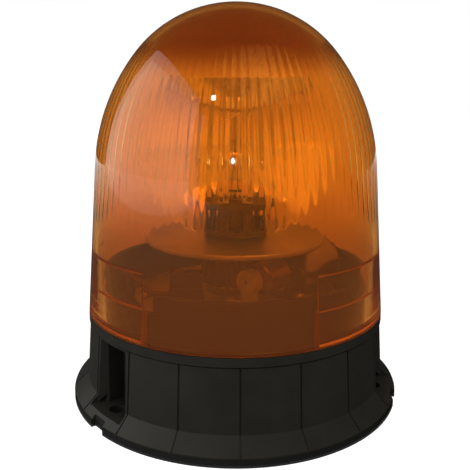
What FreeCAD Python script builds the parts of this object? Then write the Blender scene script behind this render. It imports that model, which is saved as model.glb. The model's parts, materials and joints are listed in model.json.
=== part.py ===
import FreeCAD, Part
import math
import os
import re

import Sketcher
from FreeCAD import Placement, Rotation, Vector

# Rotating beacon with a twist-off amber dome, for three bolts.  A motor turns a worm, the worm
# turns a wheel under the turntable, and the turntable carries a deep reflector round a fixed lamp.
# Millimetres, +Z up, origin at the centre of the underside.  Azimuths are counted in degrees from
# -Y towards +X.

doc = FreeCAD.newDocument("RotatingBeacon")
sheet = doc.addObject("Spreadsheet::Sheet", "Sizes")


# ---------------------------------------------------------------- driving dimensions

SIZES = {
    "gasket_thickness": 3,          # mounting gasket
    "gasket_overhang": 0.3,         # mounting gasket, how far it stands out from the skirt
    "gasket_width": 15,             # mounting gasket, ring width
    "skirt_margin": 9.4,            # base, skirt beyond the bolt circle
    "skirt_lip": 0.7,               # base, height of the skirt's upright edge
    "crease_step": 0.9,             # base, crease at the skirt's top beyond the dome's foot
    "skirt_rise": 6.2,              # base, height of that crease above the gasket
    "dome_overhang": 2.5,           # dome, foot's outside radius beyond the bolt circle
    "seam_step": 2.7,               # base, rim above the deck
    "band_height": 3.6,             # base, plain band under the rim
    "band_inset": 0.5,              # base, how far the wall's panels stand in from the band
    "band_groove": 0.55,            # base, depth and width of the groove under the band
    "base_wall": 3.2,               # base, wall
    "deck_height": 36,              # base, top of the deck
    "deck_thickness": 2.6,          # base, deck
    "panel_count": 18,              # base, panels round the wall
    "groove_width": 0.8,            # base, groove between two panels
    "groove_depth": 0.6,            # base, groove between two panels

    "bolt_circle_radius": 65,       # mounting bolts, radius of their circle
    "bolt_hole_radius": 3.25,       # mounting bolts, hole
    "recess_count": 3,              # mounting recesses
    "recess_half_width": 7.5,       # mounting recess, half of its inside width
    "recess_depth": 8,              # mounting recess, back wall inside the bolt circle
    "recess_floor": 3.2,            # mounting recess, floor thickness
    "recess_roof_drop": 1.1,        # mounting recess, roof below the band
    "recess_bevel": 3.4,            # mounting recess, bevel along each side
    "notch_depth": 1.6,             # mounting recess, notch in the rim of the foot
    "notch_half_width": 4,          # mounting recess, half of that notch

    "collar_inset": 6.5,            # collar, outside inside the dome's foot radius
    "collar_wall": 2.5,             # collar, wall
    "collar_rise": 14,              # collar, top of the low ring above the deck
    "tab_rise": 21.5,               # collar, top of the three tall arcs above the deck
    "tab_angle": 58,                # collar, angle of a tall arc
    "hook_angle": 17,               # bayonet hook, angle
    "hook_reach": 1.5,              # bayonet hook, how far it stands out of the collar
    "hook_thickness": 3,            # bayonet hook, height

    "dome_wall": 2.6,               # dome, wall
    "dome_draft": 3.3,              # dome, draft of the straight part in degrees
    "crown_rise": 72.1,             # dome, crown above the straight part
    "dome_height": 176.1,           # dome, height of the crown
    "crown_radius": 57,             # dome, radius of the crown's top
    "seam_gap": 0.3,                # gap between the dome and the base
    "pad_angle": 57.2,              # dome pad, angle
    "pad_gap": 0.5,                 # dome pad, gap between its thick part and the collar
    "hook_gap": 0.4,                # dome pad, gap between its thin part and the hooks
    "ledge_rise": 16,               # dome pad, ledge that the hooks hold, above the deck
    "pad_rise": 30,                 # dome pad, top of the thin part above the deck
    "pad_azimuth": 17.6,            # dome pad, azimuth of its first edge
    "seal_inset": 2.3,              # dome seal, outside inside the dome's foot radius
    "seal_width": 2.4,              # dome seal, width
    "seal_depth": 1.8,              # dome seal, depth of its groove

    "post_height": 6,               # chassis posts on the deck
    "post_radius": 4,               # chassis posts
    "plate_radius": 47.5,           # chassis plate
    "plate_thickness": 1.5,         # chassis plate
    "plate_screw_inset": 5.5,       # chassis screws, distance from the plate's edge
    "plate_screw_azimuth": 30,      # chassis screws, azimuth of the first
    "screw_radius": 1.5,            # screws, shank
    "screw_head_radius": 2.9,       # screws, head
    "screw_head_height": 1.7,       # screws, head
    "screw_length": 5,              # screws, shank below the head
    "screw_slot": 0.7,              # screws, slot
    "hole_gap": 0.1,                # clearance round a screw's shank

    "centre_distance": 21,          # worm gear, distance between the axes
    "gear_module": 1,               # worm gear, module
    "wheel_teeth": 30,              # worm wheel, teeth
    "wheel_width": 12,              # worm wheel, face width
    "motor_gap": 0.5,               # motor, gap between its can and the chassis plate
    "worm_length": 15,              # worm, threaded length
    "gear_backlash": 0.36,          # worm gear, play between the flanks
    "gear_play": 0.25,              # worm gear, play at tips and roots
    "drive_azimuth": 35.2,          # drive, angle of the worm's axis from +X
    "worm_neck": 1.5,               # worm, plain neck at each end
    "shaft_radius": 1.5,            # motor shaft
    "running_gap": 0.06,            # running clearance round a shaft

    "motor_face": 14.5,             # motor, front face along the worm's axis
    "motor_radius": 11,             # motor can
    "motor_length": 25,             # motor can
    "motor_boss_radius": 4,         # motor, bearing boss
    "motor_boss_length": 2.4,       # motor, bearing boss
    "cap_length": 2.2,              # motor end cap
    "bracket_thickness": 1.5,       # motor bracket
    "bracket_half_width": 10,       # motor bracket
    "bracket_foot": 8,              # motor bracket, foot
    "bracket_foot_shift": 3,        # motor bracket, foot set outwards from the shaft
    "bracket_foot_width": 18,       # motor bracket, foot
    "motor_screw_offset": 7.5,      # motor screws, distance from the shaft
    "tag_height": 3.4,              # motor tags
    "block_face": 10.8,             # front bearing block, face towards the worm
    "block_thickness": 5.6,         # front bearing block
    "block_radius": 5.2,            # front bearing block, round head
    "block_foot_length": 18.2,      # front bearing block, foot
    "block_foot_height": 2.5,       # front bearing block, foot

    "stem_radius": 6,               # stem
    "stem_bore": 3.6,               # stem, bore for the lamp leads
    "stem_flange_radius": 15.2,     # stem, flange
    "stem_flange_thickness": 2,     # stem, flange
    "stem_shoulder_radius": 8.4,    # stem, shoulder under the washer
    "stem_shoulder_height": 1.6,    # stem, shoulder under the washer
    "washer_thickness": 0.8,        # thrust washer
    "washer_radius": 9.6,           # thrust washer
    "bush_wall": 1.9,               # wheel bush, wall
    "end_float": 0.2,               # turntable, play along the stem
    "hub_radius": 11,               # worm wheel, hub under the turntable
    "table_gap": 2.3,               # turntable, gap over the motor's can
    "table_thickness": 2.4,         # turntable
    "table_radius": 41.5,           # turntable
    "table_screw_radius": 9.3,      # turntable screws, radius of their circle
    "circlip_thickness": 0.8,       # circlip
    "circlip_radius": 8.2,          # circlip, outside
    "circlip_groove": 0.6,          # circlip, depth of its groove

    "view_azimuth": -11.8,          # reflector and lamp holder, azimuth that they face
    "focal_length": 20,             # reflector, focal length
    "reflector_radius": 43,         # reflector, radius of its rim
    "reflector_wall": 1.4,          # reflector, wall
    "reflector_rise": 31.2,         # reflector, flat top above its focus
    "lamp_clearance": 17.5,         # reflector, radius of the cut-out round the lamp holder
    "lamp_clearance_rise": 8.1,     # reflector, top of that cut-out above the holder
    "stand_half_width": 14,         # reflector stand, half of the width over its ribs
    "stand_rib": 2.2,               # reflector stand, ribs
    "stand_height": 29.3,           # reflector stand, ribs above the turntable
    "stand_back": 34,               # reflector stand, back edge behind the lamp
    "stand_foot": 2.4,              # reflector stand, foot
    "stand_screw_offset": 27,       # reflector screws, distance behind the lamp

    "holder_radius": 15.2,          # lamp holder
    "holder_floor": 2.4,            # lamp holder, bottom disc
    "holder_height": 14.3,          # lamp holder, height up to the lamp's flange
    "holder_lid": 2.2,              # lamp holder, top disc
    "holder_tube_radius": 7.6,      # lamp holder, tube round the lamp's base
    "holder_post_count": 8,         # lamp holder, posts
    "holder_post_radius": 1.7,      # lamp holder, posts
    "lamp_base_radius": 4.7,        # lamp, base
    "lamp_base_length": 9.5,        # lamp, base below the flange
    "lamp_flange_radius": 7.2,      # lamp, flange
    "lamp_flange_thickness": 0.8,   # lamp, flange
    "lamp_neck_height": 4,          # lamp, metal neck above the flange
    "glass_radius": 4.6,            # lamp, glass
    "glass_wall": 0.9,              # lamp, glass wall
    "glass_height": 40.5,           # lamp, tip of the glass above the flange's seat
    "filament_height": 25.4,        # lamp, filament above the flange's seat
    "filament_length": 5,           # lamp, filament
    "filament_radius": 0.7,         # lamp, filament coil
    "support_radius": 0.3,          # lamp, wires that hold the filament
    "support_offset": 1.9,          # lamp, those wires from its axis
    "contact_radius": 2.6,          # lamp contact spring
    "clip_wire_radius": 0.6,        # lamp clip, wire
    "clip_half_width": 6.2,         # lamp clip, half of the width over its wires
    "clip_pivot": 14,               # lamp clip, pivot in front of the lamp
    "clip_reach": 23,               # lamp clip, length of its arms

    "block_offset_x": -21,          # terminal block, sideways from the axis
    "block_offset_y": -25,          # terminal block, in front of the axis when negative
    "terminal_length": 14,          # terminal block, along its row
    "terminal_depth": 12,           # terminal block, across its row
    "terminal_height": 16,          # terminal block
    "terminal_pitch": 6.4,          # terminal block, distance between its screws
    "terminal_step": 3.2,           # terminal block, low step along each side
    "terminal_well_radius": 2.5,    # terminal block, well over each screw
    "lead_radius": 0.9,             # inside leads
    "lead_pitch": 2.3,              # inside leads, distance between two
    "capacitor_radius": 3.6,        # suppressor capacitor
    "capacitor_thickness": 2.2,     # suppressor capacitor
    "grommet_radius": 7,            # cable grommet, outside
    "grommet_waist": 5.2,           # cable grommet, waist in the deck's hole
    "grommet_bore": 3.5,            # cable grommet, bore for the supply cable
    "grommet_lip": 2.4,             # cable grommet, lip on each side of the deck
    "grommet_azimuth": 120,         # cable grommet, azimuth
    "grommet_offset": 24,           # cable grommet, distance from the axis
    "rib_thickness": 1.8,           # base, ribs under the deck
    "rib_depth": 9,                 # base, ribs under the deck
    "rib_count": 6,                 # base, ribs under the deck
    "rib_ring": 10,                 # base, ring where the ribs meet
}
for row, (alias, value) in enumerate(SIZES.items(), 1):
    sheet.set(f"A{row}", alias.replace("_", " "))
    sheet.set(f"B{row}", str(value))
    sheet.setAlias(f"B{row}", alias)
doc.recompute()


# ---------------------------------------------------------------- formulas and places

def formula(text):
    """Turns a formula in the sheet's aliases into an expression of this document."""
    return re.sub(r"\b([a-z]+(?:_[a-z]+)+)\b", r"Sizes.\1", str(text))


def number(text):
    """The formula's present value."""
    found = sheet.evalExpression(formula(text))
    return float(getattr(found, "Value", found))


FOOT_RADIUS = "(bolt_circle_radius + dome_overhang)"
SKIRT_RADIUS = "(bolt_circle_radius + skirt_margin)"
GASKET_RADIUS = f"({SKIRT_RADIUS} + gasket_overhang)"
CREASE_RADIUS = f"({FOOT_RADIUS} + crease_step)"
CREASE_HEIGHT = "(gasket_thickness + skirt_rise)"
SEAM_HEIGHT = "(deck_height + seam_step)"
RECESS_BACK = "(bolt_circle_radius - recess_depth)"
COLLAR_RADIUS = f"({FOOT_RADIUS} - collar_inset)"
COLLAR_HEIGHT = "(deck_height + collar_rise)"
TAB_HEIGHT = "(deck_height + tab_rise)"
PAD_REACH_RADIUS = f"({COLLAR_RADIUS} + pad_gap)"
PAD_THIN_RADIUS = f"({COLLAR_RADIUS} + hook_reach + hook_gap)"
LEDGE_HEIGHT = "(deck_height + ledge_rise)"
PAD_TOP = "(deck_height + pad_rise)"
SEAL_RADIUS = f"({FOOT_RADIUS} - seal_inset)"
PANEL_ANGLE = "(360 / panel_count)"
RECESS_ANGLE = "(360 / recess_count)"
WALL_TOP = f"({FOOT_RADIUS} - band_inset)"
BAND_FOOT = f"({SEAM_HEIGHT} - band_height)"
DECK_UNDER = "(deck_height - deck_thickness)"
CAVITY_RADIUS = f"({FOOT_RADIUS} - band_inset - base_wall)"
RECESS_FLOOR = "(gasket_thickness + recess_floor)"
RECESS_ROOF = f"({BAND_FOOT} - recess_roof_drop)"
PLATE_UNDER = "(deck_height + post_height)"
PLATE_TOP = f"({PLATE_UNDER} + plate_thickness)"
WORM_PITCH = "(centre_distance - gear_module * wheel_teeth / 2)"
WHEEL_TIP = "(gear_module * wheel_teeth / 2 + gear_module)"
WORM_HEIGHT = f"({PLATE_TOP} + motor_gap + motor_radius)"
TABLE_HEIGHT = f"({WORM_HEIGHT} + motor_radius + table_gap)"
WHEEL_UNDER = f"({WORM_HEIGHT} - wheel_width / 2)"
SHOULDER_TOP = f"({PLATE_TOP} + stem_flange_thickness + stem_shoulder_height)"
WASHER_TOP = f"({SHOULDER_TOP} + washer_thickness)"
HUB_UNDER = f"({WASHER_TOP} + end_float)"
BUSH_RADIUS = "(stem_radius + running_gap + bush_wall)"
TABLE_TOP = f"({TABLE_HEIGHT} + table_thickness)"
CIRCLIP_UNDER = f"({TABLE_TOP} + end_float)"
HOLDER_UNDER = f"({CIRCLIP_UNDER} + circlip_thickness + 2 * end_float)"
HOLDER_TOP = f"({HOLDER_UNDER} + holder_height)"
FOCUS_HEIGHT = f"({HOLDER_TOP} + filament_height)"
REFLECTOR_TOP = f"({FOCUS_HEIGHT} + reflector_rise)"
LAMP_CLEARANCE_TOP = f"({HOLDER_TOP} + lamp_clearance_rise)"
STAND_TOP = f"({TABLE_TOP} + stand_height)"
FLANGE_TOP = f"({HOLDER_TOP} + lamp_flange_thickness)"
CLIP_HEIGHT = f"({FLANGE_TOP} + clip_wire_radius + running_gap)"
SCREW_HOLE = "(screw_radius + hole_gap)"
DOME_FOOT = f"({SEAM_HEIGHT} + seam_gap)"
SHOULDER_HEIGHT = "(dome_height - crown_rise)"
SHOULDER_RADIUS = f"({FOOT_RADIUS} - ({SHOULDER_HEIGHT} - {SEAM_HEIGHT}) * tan(dome_draft))"

pieces = []


def place(item, x="0", y="0", z="0"):
    """Ties an object's position to formulas."""
    for axis, text in zip("xyz", (x, y, z)):
        item.setExpression(f"Placement.Base.{axis}", formula(text))


def piece(item, label, turn=None):
    """Names a finished sub-part and turns it about the beacon's axis."""
    item.Label = label
    if turn:
        item.setExpression("Placement.Rotation.Angle", formula(turn))
    pieces.append(item)
    return item


# ---------------------------------------------------------------- primitives and booleans

TURNED = {"z": Rotation(), "x": Rotation(Vector(0, 1, 0), 90), "y": Rotation(Vector(1, 0, 0), -90)}


def rod(radius, length, x="0", y="0", z="0", along="z"):
    """A cylinder from a point along one of the axes."""
    item = doc.addObject("Part::Cylinder", "Rod")
    item.setExpression("Radius", formula(radius))
    item.setExpression("Height", formula(length))
    item.Placement = Placement(Vector(), TURNED[along])
    place(item, x, y, z)
    return item


def block(width, depth, height, x="0", y="0", z="0"):
    """A box centred on a point in X and Y, standing on it in Z."""
    item = doc.addObject("Part::Box", "Block")
    item.setExpression("Length", formula(width))
    item.setExpression("Width", formula(depth))
    item.setExpression("Height", formula(height))
    place(item, f"{x} - ({width}) / 2", f"{y} - ({depth}) / 2", z)
    return item


def joined(*items):
    """One solid out of several that overlap or touch."""
    if len(items) == 1:
        return items[0]
    item = doc.addObject("Part::MultiFuse", "Joined")
    item.Shapes = list(items)
    return item


def minus(base, *tools):
    """The base without its tools."""
    item = doc.addObject("Part::Cut", "Minus")
    item.Base = base
    item.Tool = joined(*tools)
    return item


def around(count, radius, azimuth, make):
    """Copies made at equal steps round the Z axis; make takes the X and Y formulas."""
    made = []
    for index in range(int(number(count))):
        angle = f"({azimuth} + {index} * 360 / ({count}))"
        made.append(make(f"({radius}) * sin({angle})", f"-({radius}) * cos({angle})"))
    return made


def rounded(base, radius, *edges, kind="Fillet"):
    """A cylinder with its end edges rounded: 2 is the edge at its start and 3 at its far end."""
    item = doc.addObject(f"Part::{kind}", "Rounded")
    item.Base = base
    doc.recompute()
    item.Edges = [(edge, number(radius), number(radius)) for edge in edges]
    return item


def group(items):
    """Separate solids that share one node."""
    item = doc.addObject("Part::Compound", "Group")
    item.Links = list(items)
    return item


def screw(x, y, z, length="screw_length"):
    """A pan-head screw with a slot; z is the seat of its head."""
    head = rounded(rod("screw_head_radius", "screw_head_height", x, y, z), "screw_head_height / 2", 3,
                   kind="Chamfer")
    shank = rod("screw_radius", length, x, y, f"{z} - ({length})")
    slot = block("3 * screw_head_radius", "screw_slot", "screw_head_height", x, y,
                 f"{z} + screw_head_height * 0.6")
    return minus(joined(head, shank), slot)


def made(shape, label, turn=None):
    """A sub-part whose shape is worked out below with Part's own functions."""
    item = doc.addObject("Part::Feature", "Made")
    item.Shape = Part.makeCompound(shape.Solids)
    item.Placement = Placement()
    return piece(item, label, turn)


# ---------------------------------------------------------------- bodies and sketches

def body(label, turn=None):
    return piece(doc.addObject("PartDesign::Body", "Body"), label, turn)


def origin(owner, role):
    return [item for item in owner.Origin.OriginFeatures if item.Role == role][0]


def sketch(owner, role, turn=None, height=None):
    """An empty sketch on an origin plane, turned about Z or lifted along its normal."""
    item = owner.newObject("Sketcher::SketchObject", "Sketch")
    item.AttachmentSupport = (origin(owner, role), [""])
    item.MapMode = "FlatFace"
    if turn:
        axis = Vector(0, 0, 1) if role == "XY_Plane" else Vector(0, 1, 0)
        item.AttachmentOffset = Placement(Vector(), Rotation(axis, 10))
        item.setExpression("AttachmentOffset.Rotation.Angle", formula(turn))
    if height:
        item.setExpression("AttachmentOffset.Base.z", formula(height))
    return item


def fix(item, part, end, x, y):
    """Ties one point of a sketch's geometry to a pair of formulas."""
    for kind, text in (("DistanceX", x), ("DistanceY", y)):
        place_at = item.addConstraint(
            Sketcher.Constraint(kind, -1, 1, part, end, number(text)))
        item.setExpression(f"Constraints[{place_at}]", formula(text))


def polygon(owner, role, corners, turn=None, height=None):
    """A closed outline of straight lines through corners given as formulas."""
    item = sketch(owner, role, turn, height)
    spots = [Vector(number(x), number(y), 0) for x, y in corners]
    count = len(spots)
    for index in range(count):
        item.addGeometry(Part.LineSegment(spots[index], spots[(index + 1) % count]), False)
    for index in range(count):
        item.addConstraint(Sketcher.Constraint("Coincident", index, 2, (index + 1) % count, 1))
    for index, (x, y) in enumerate(corners):
        fix(item, index, 1, x, y)
    return item


def circles(owner, spots, height=None):
    """Circles on the XY plane: each spot is a radius and the X and Y of its centre."""
    item = sketch(owner, "XY_Plane", None, height)
    for radius, x, y in spots:
        centre = Vector(number(x), number(y), 0)
        index = item.addGeometry(Part.Circle(centre, Vector(0, 0, 1), number(radius)), False)
        fix(item, index, 3, x, y)
        bound = item.addConstraint(Sketcher.Constraint("Radius", index, number(radius)))
        item.setExpression(f"Constraints[{bound}]", formula(radius))
    return item


def feature(owner, kind, profile, **sizes):
    """A PartDesign feature on a sketch, with its sizes tied to formulas."""
    item = owner.newObject(f"PartDesign::{kind}", kind)
    item.Profile = profile
    for name, text in sizes.items():
        item.setExpression(name, formula(text))
    profile.Visibility = False
    return item


def turned(owner, profile, kind="Revolution", angle="360"):
    item = owner.newObject(f"PartDesign::{kind}", kind)
    item.Profile = profile
    item.ReferenceAxis = (profile, ["V_Axis"])
    item.setExpression("Angle", formula(angle))
    return item


def repeated(owner, item, count):
    """The feature repeated round the body's Z axis."""
    pattern = owner.newObject("PartDesign::PolarPattern", "Pattern")
    pattern.Originals = [item]
    pattern.Axis = (origin(owner, "Z_Axis"), [""])
    pattern.Angle = 360
    pattern.setExpression("Occurrences", formula(count))
    owner.Tip = pattern
    return pattern


def revolved(label, corners, turn=None):
    """A body turned from one half outline of radius and height formulas."""
    owner = body(label, turn)
    turned(owner, polygon(owner, "XZ_Plane", corners))
    return owner


def ring(label, inner, outer, low, high, turn=None):
    return revolved(label, [(inner, low), (outer, low), (outer, high), (inner, high)], turn)


# ---------------------------------------------------------------- base

def base_housing():
    """One moulding: panelled wall and skirt, deck, collar with bayonet hooks, bolt recesses.

    The body's own X axis lies on a groove, half a panel before the first recess, and the last
    recess faces +Y once the body is turned.
    """
    owner = body("base_housing", f"90 - {PANEL_ANGLE} / 2")
    half = f"({PANEL_ANGLE} / 2)"
    turned(owner, polygon(owner, "XZ_Plane", [
        ("0", "gasket_thickness"),
        (SKIRT_RADIUS, "gasket_thickness"),
        (SKIRT_RADIUS, "gasket_thickness + skirt_lip"),
        (CREASE_RADIUS, CREASE_HEIGHT),
        (WALL_TOP, f"{BAND_FOOT} - band_groove"),
        (f"{WALL_TOP} - band_groove", f"{BAND_FOOT} - band_groove / 2"),
        (WALL_TOP, BAND_FOOT),
        (FOOT_RADIUS, BAND_FOOT),
        (FOOT_RADIUS, SEAM_HEIGHT),
        (COLLAR_RADIUS, SEAM_HEIGHT),
        (COLLAR_RADIUS, COLLAR_HEIGHT),
        (f"{COLLAR_RADIUS} - collar_wall", COLLAR_HEIGHT),
        (f"{COLLAR_RADIUS} - collar_wall", "deck_height"),
        ("0", "deck_height"),
    ]))
    cavity = circles(owner, [(CAVITY_RADIUS, "0", "0")], "gasket_thickness")
    feature(owner, "Pocket", cavity, Length=f"{DECK_UNDER} - gasket_thickness").Reversed = True
    turned(owner, polygon(owner, "XZ_Plane", [
        (f"{CAVITY_RADIUS} - 1", "gasket_thickness"),
        (f"{SKIRT_RADIUS} - base_wall", "gasket_thickness"),
        (f"{CAVITY_RADIUS} - 1", f"{CREASE_HEIGHT} + base_wall"),
    ]), "Groove")
    # a tower of material behind each recess, and the floor that the bolt holds
    inside = "(recess_half_width + base_wall)"
    tower = feature(owner, "Pad", polygon(owner, "XY_Plane", [
        (f"{RECESS_BACK} - base_wall", f"-{inside}"),
        (f"{CAVITY_RADIUS} + 1", f"-{inside} - recess_bevel"),
        (f"{CAVITY_RADIUS} + 1", f"{inside} + recess_bevel"),
        (f"{RECESS_BACK} - base_wall", inside),
    ], half, "gasket_thickness"), Length=f"{DECK_UNDER} + deck_thickness / 2 - gasket_thickness")
    repeated(owner, tower, "recess_count")
    floor = feature(owner, "Pad", polygon(owner, "XY_Plane", [
        (f"{CAVITY_RADIUS} - 1", f"-{inside} - recess_bevel"),
        (CREASE_RADIUS, f"-{inside} - recess_bevel"),
        (f"{SKIRT_RADIUS} - base_wall", f"-{inside}"),
        (f"{SKIRT_RADIUS} - base_wall", inside),
        (CREASE_RADIUS, f"{inside} + recess_bevel"),
        (f"{CAVITY_RADIUS} - 1", f"{inside} + recess_bevel"),
    ], half, "gasket_thickness"), Length="recess_floor")
    repeated(owner, floor, "recess_count")
    # the recess: a channel with a sloping roof, then a bevel along both of its sides
    outside = f"({SKIRT_RADIUS} + 5)"
    channel = feature(owner, "Pocket", polygon(owner, "XZ_Plane", [
        (RECESS_BACK, RECESS_FLOOR),
        (outside, RECESS_FLOOR),
        (outside, RECESS_ROOF),
        (f"{RECESS_BACK} + 5", RECESS_ROOF),
        (f"{RECESS_BACK} + 1.2", f"{RECESS_ROOF} - 1.6"),
        (RECESS_BACK, f"{RECESS_ROOF} - 5"),
    ], half), Length="2 * recess_half_width")
    channel.Midplane = True
    repeated(owner, channel, "recess_count")
    bevel = feature(owner, "Pocket", polygon(owner, "XY_Plane", [
        (f"{FOOT_RADIUS} - recess_bevel", "-recess_half_width"),
        (f"{FOOT_RADIUS} + 0.6", "-recess_half_width - recess_bevel - 0.2"),
        (outside, "-recess_half_width - recess_bevel - 1.6"),
        (outside, "recess_half_width + recess_bevel + 1.6"),
        (f"{FOOT_RADIUS} + 0.6", "recess_half_width + recess_bevel + 0.2"),
        (f"{FOOT_RADIUS} - recess_bevel", "recess_half_width"),
    ], half, RECESS_FLOOR), Length=f"{RECESS_ROOF} - {RECESS_FLOOR}")
    bevel.Reversed = True
    repeated(owner, bevel, "recess_count")
    notch = feature(owner, "Pocket", polygon(owner, "XY_Plane", [
        (f"{SKIRT_RADIUS} - notch_depth", "-notch_half_width"),
        (outside, "-notch_half_width - 1"),
        (outside, "notch_half_width + 1"),
        (f"{SKIRT_RADIUS} - notch_depth", "notch_half_width"),
    ], half), Length=CREASE_HEIGHT)
    notch.Reversed = True
    repeated(owner, notch, "recess_count")
    hole = feature(owner, "Pocket", circles(owner, [
        ("bolt_hole_radius", f"bolt_circle_radius * cos({half})", f"bolt_circle_radius * sin({half})"),
    ]), Length=CREASE_HEIGHT)
    hole.Reversed = True
    repeated(owner, hole, "recess_count")
    # grooves between the panels, down the wall and the skirt
    deep = "groove_depth"
    groove = feature(owner, "Pocket", polygon(owner, "XZ_Plane", [
        (f"{WALL_TOP} - {deep}", BAND_FOOT),
        (f"{CREASE_RADIUS} - {deep}", CREASE_HEIGHT),
        (f"{SKIRT_RADIUS} - {deep}", "gasket_thickness + skirt_lip"),
        (f"{SKIRT_RADIUS} + 1", "gasket_thickness + skirt_lip"),
        (f"{CREASE_RADIUS} + 1", f"{CREASE_HEIGHT} + 1"),
        (f"{WALL_TOP} + 1", BAND_FOOT),
    ]), Length="groove_width")
    groove.Midplane = True
    repeated(owner, groove, "panel_count")
    # tall arcs of the collar and the hooks at their ends, placed by the dome's pads
    gap_start = f"(pad_azimuth - {RECESS_ANGLE} + pad_angle)"
    arc_start = f"({gap_start} + ({RECESS_ANGLE} - pad_angle - tab_angle) / 2)"
    own_turn = f"(180 - {half})"
    arc = feature(owner, "Revolution", polygon(owner, "XZ_Plane", [
        (f"{COLLAR_RADIUS} - collar_wall", f"{COLLAR_HEIGHT} - 1"),
        (COLLAR_RADIUS, f"{COLLAR_HEIGHT} - 1"),
        (COLLAR_RADIUS, TAB_HEIGHT),
        (f"{COLLAR_RADIUS} - collar_wall", TAB_HEIGHT),
    ], f"({arc_start} - {own_turn})"))
    arc.ReferenceAxis = (arc.Profile[0], ["V_Axis"])
    arc.setExpression("Angle", formula("tab_angle + 2 + hook_angle"))
    repeated(owner, arc, "recess_count")
    hook = feature(owner, "Revolution", polygon(owner, "XZ_Plane", [
        (f"{COLLAR_RADIUS} - 1", f"{LEDGE_HEIGHT} + seam_gap"),
        (f"{COLLAR_RADIUS} + hook_reach", f"{LEDGE_HEIGHT} + seam_gap"),
        (f"{COLLAR_RADIUS} + hook_reach", f"{LEDGE_HEIGHT} + seam_gap + hook_thickness - 1"),
        (f"{COLLAR_RADIUS} + hook_reach - 1", f"{LEDGE_HEIGHT} + seam_gap + hook_thickness"),
        (f"{COLLAR_RADIUS} - 1", f"{LEDGE_HEIGHT} + seam_gap + hook_thickness"),
    ], f"({arc_start} - {own_turn} + tab_angle + 2)"))
    hook.ReferenceAxis = (hook.Profile[0], ["V_Axis"])
    hook.setExpression("Angle", formula("hook_angle"))
    repeated(owner, hook, "recess_count")
    # ribs and their ring under the deck, and the hole for the cable grommet
    rib = feature(owner, "Pad", polygon(owner, "XZ_Plane", [
        ("rib_ring - 1", f"{DECK_UNDER} + 1"),
        ("rib_ring - 1", f"{DECK_UNDER} - rib_depth"),
        (f"{CAVITY_RADIUS} + 1", f"{DECK_UNDER} - rib_depth"),
        (f"{CAVITY_RADIUS} + 1", f"{DECK_UNDER} + 1"),
    ], f"({half} - 30)"), Length="rib_thickness")
    rib.Midplane = True
    repeated(owner, rib, "rib_count")
    turned(owner, polygon(owner, "XZ_Plane", [
        ("rib_ring - 2", f"{DECK_UNDER} + 1"),
        ("rib_ring - 2", f"{DECK_UNDER} - rib_depth"),
        ("rib_ring", f"{DECK_UNDER} - rib_depth"),
        ("rib_ring", f"{DECK_UNDER} + 1"),
    ]))
    toward = f"(grommet_azimuth - {own_turn})"
    inlet = feature(owner, "Pocket", circles(owner, [
        ("grommet_waist", f"grommet_offset * cos({toward})", f"grommet_offset * sin({toward})"),
    ]), Length="deck_height + 1")
    inlet.Reversed = True
    # groove for the dome's seal
    turned(owner, polygon(owner, "XZ_Plane", [
        (f"{SEAL_RADIUS} - seal_width", f"{SEAM_HEIGHT} - seal_depth"),
        (SEAL_RADIUS, f"{SEAM_HEIGHT} - seal_depth"),
        (SEAL_RADIUS, f"{SEAM_HEIGHT} + 1"),
        (f"{SEAL_RADIUS} - seal_width", f"{SEAM_HEIGHT} + 1"),
    ]), "Groove")
    return owner


def dome_seal():
    ring("dome_seal", f"{SEAL_RADIUS} - seal_width", SEAL_RADIUS,
         f"{SEAM_HEIGHT} - seal_depth", f"{SEAM_HEIGHT} + 0.05")


def chassis_posts():
    piece(group(around("3", "plate_radius - plate_screw_inset", "plate_screw_azimuth",
                       chassis_post)), "chassis_posts")


def chassis_post(x, y):
    """A post on the deck with a blind hole for its screw."""
    return minus(
        rod("post_radius", "post_height", x, y, "deck_height"),
        rod(SCREW_HOLE, "post_height", x, y, f"{PLATE_TOP} - screw_length - hole_gap"))


def mounting_gasket():
    owner = body("mounting_gasket", f"90 - {PANEL_ANGLE} / 2")
    turned(owner, polygon(owner, "XZ_Plane", [
        (f"{GASKET_RADIUS} - gasket_width", "0"),
        (GASKET_RADIUS, "0"),
        (GASKET_RADIUS, "gasket_thickness"),
        (f"{GASKET_RADIUS} - gasket_width", "gasket_thickness"),
    ]))
    half = f"({PANEL_ANGLE} / 2)"
    notch = feature(owner, "Pocket", polygon(owner, "XY_Plane", [
        (f"{SKIRT_RADIUS} - notch_depth", "-notch_half_width"),
        (f"{GASKET_RADIUS} + 5", "-notch_half_width - 1"),
        (f"{GASKET_RADIUS} + 5", "notch_half_width + 1"),
        (f"{SKIRT_RADIUS} - notch_depth", "notch_half_width"),
    ], half), Length="gasket_thickness")
    notch.Reversed = True
    repeated(owner, notch, "recess_count")
    hole = feature(owner, "Pocket", circles(owner, [
        ("bolt_hole_radius", f"bolt_circle_radius * cos({half})", f"bolt_circle_radius * sin({half})"),
    ]), Length="gasket_thickness")
    hole.Reversed = True
    repeated(owner, hole, "recess_count")
    return owner


# ---------------------------------------------------------------- dome

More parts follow.
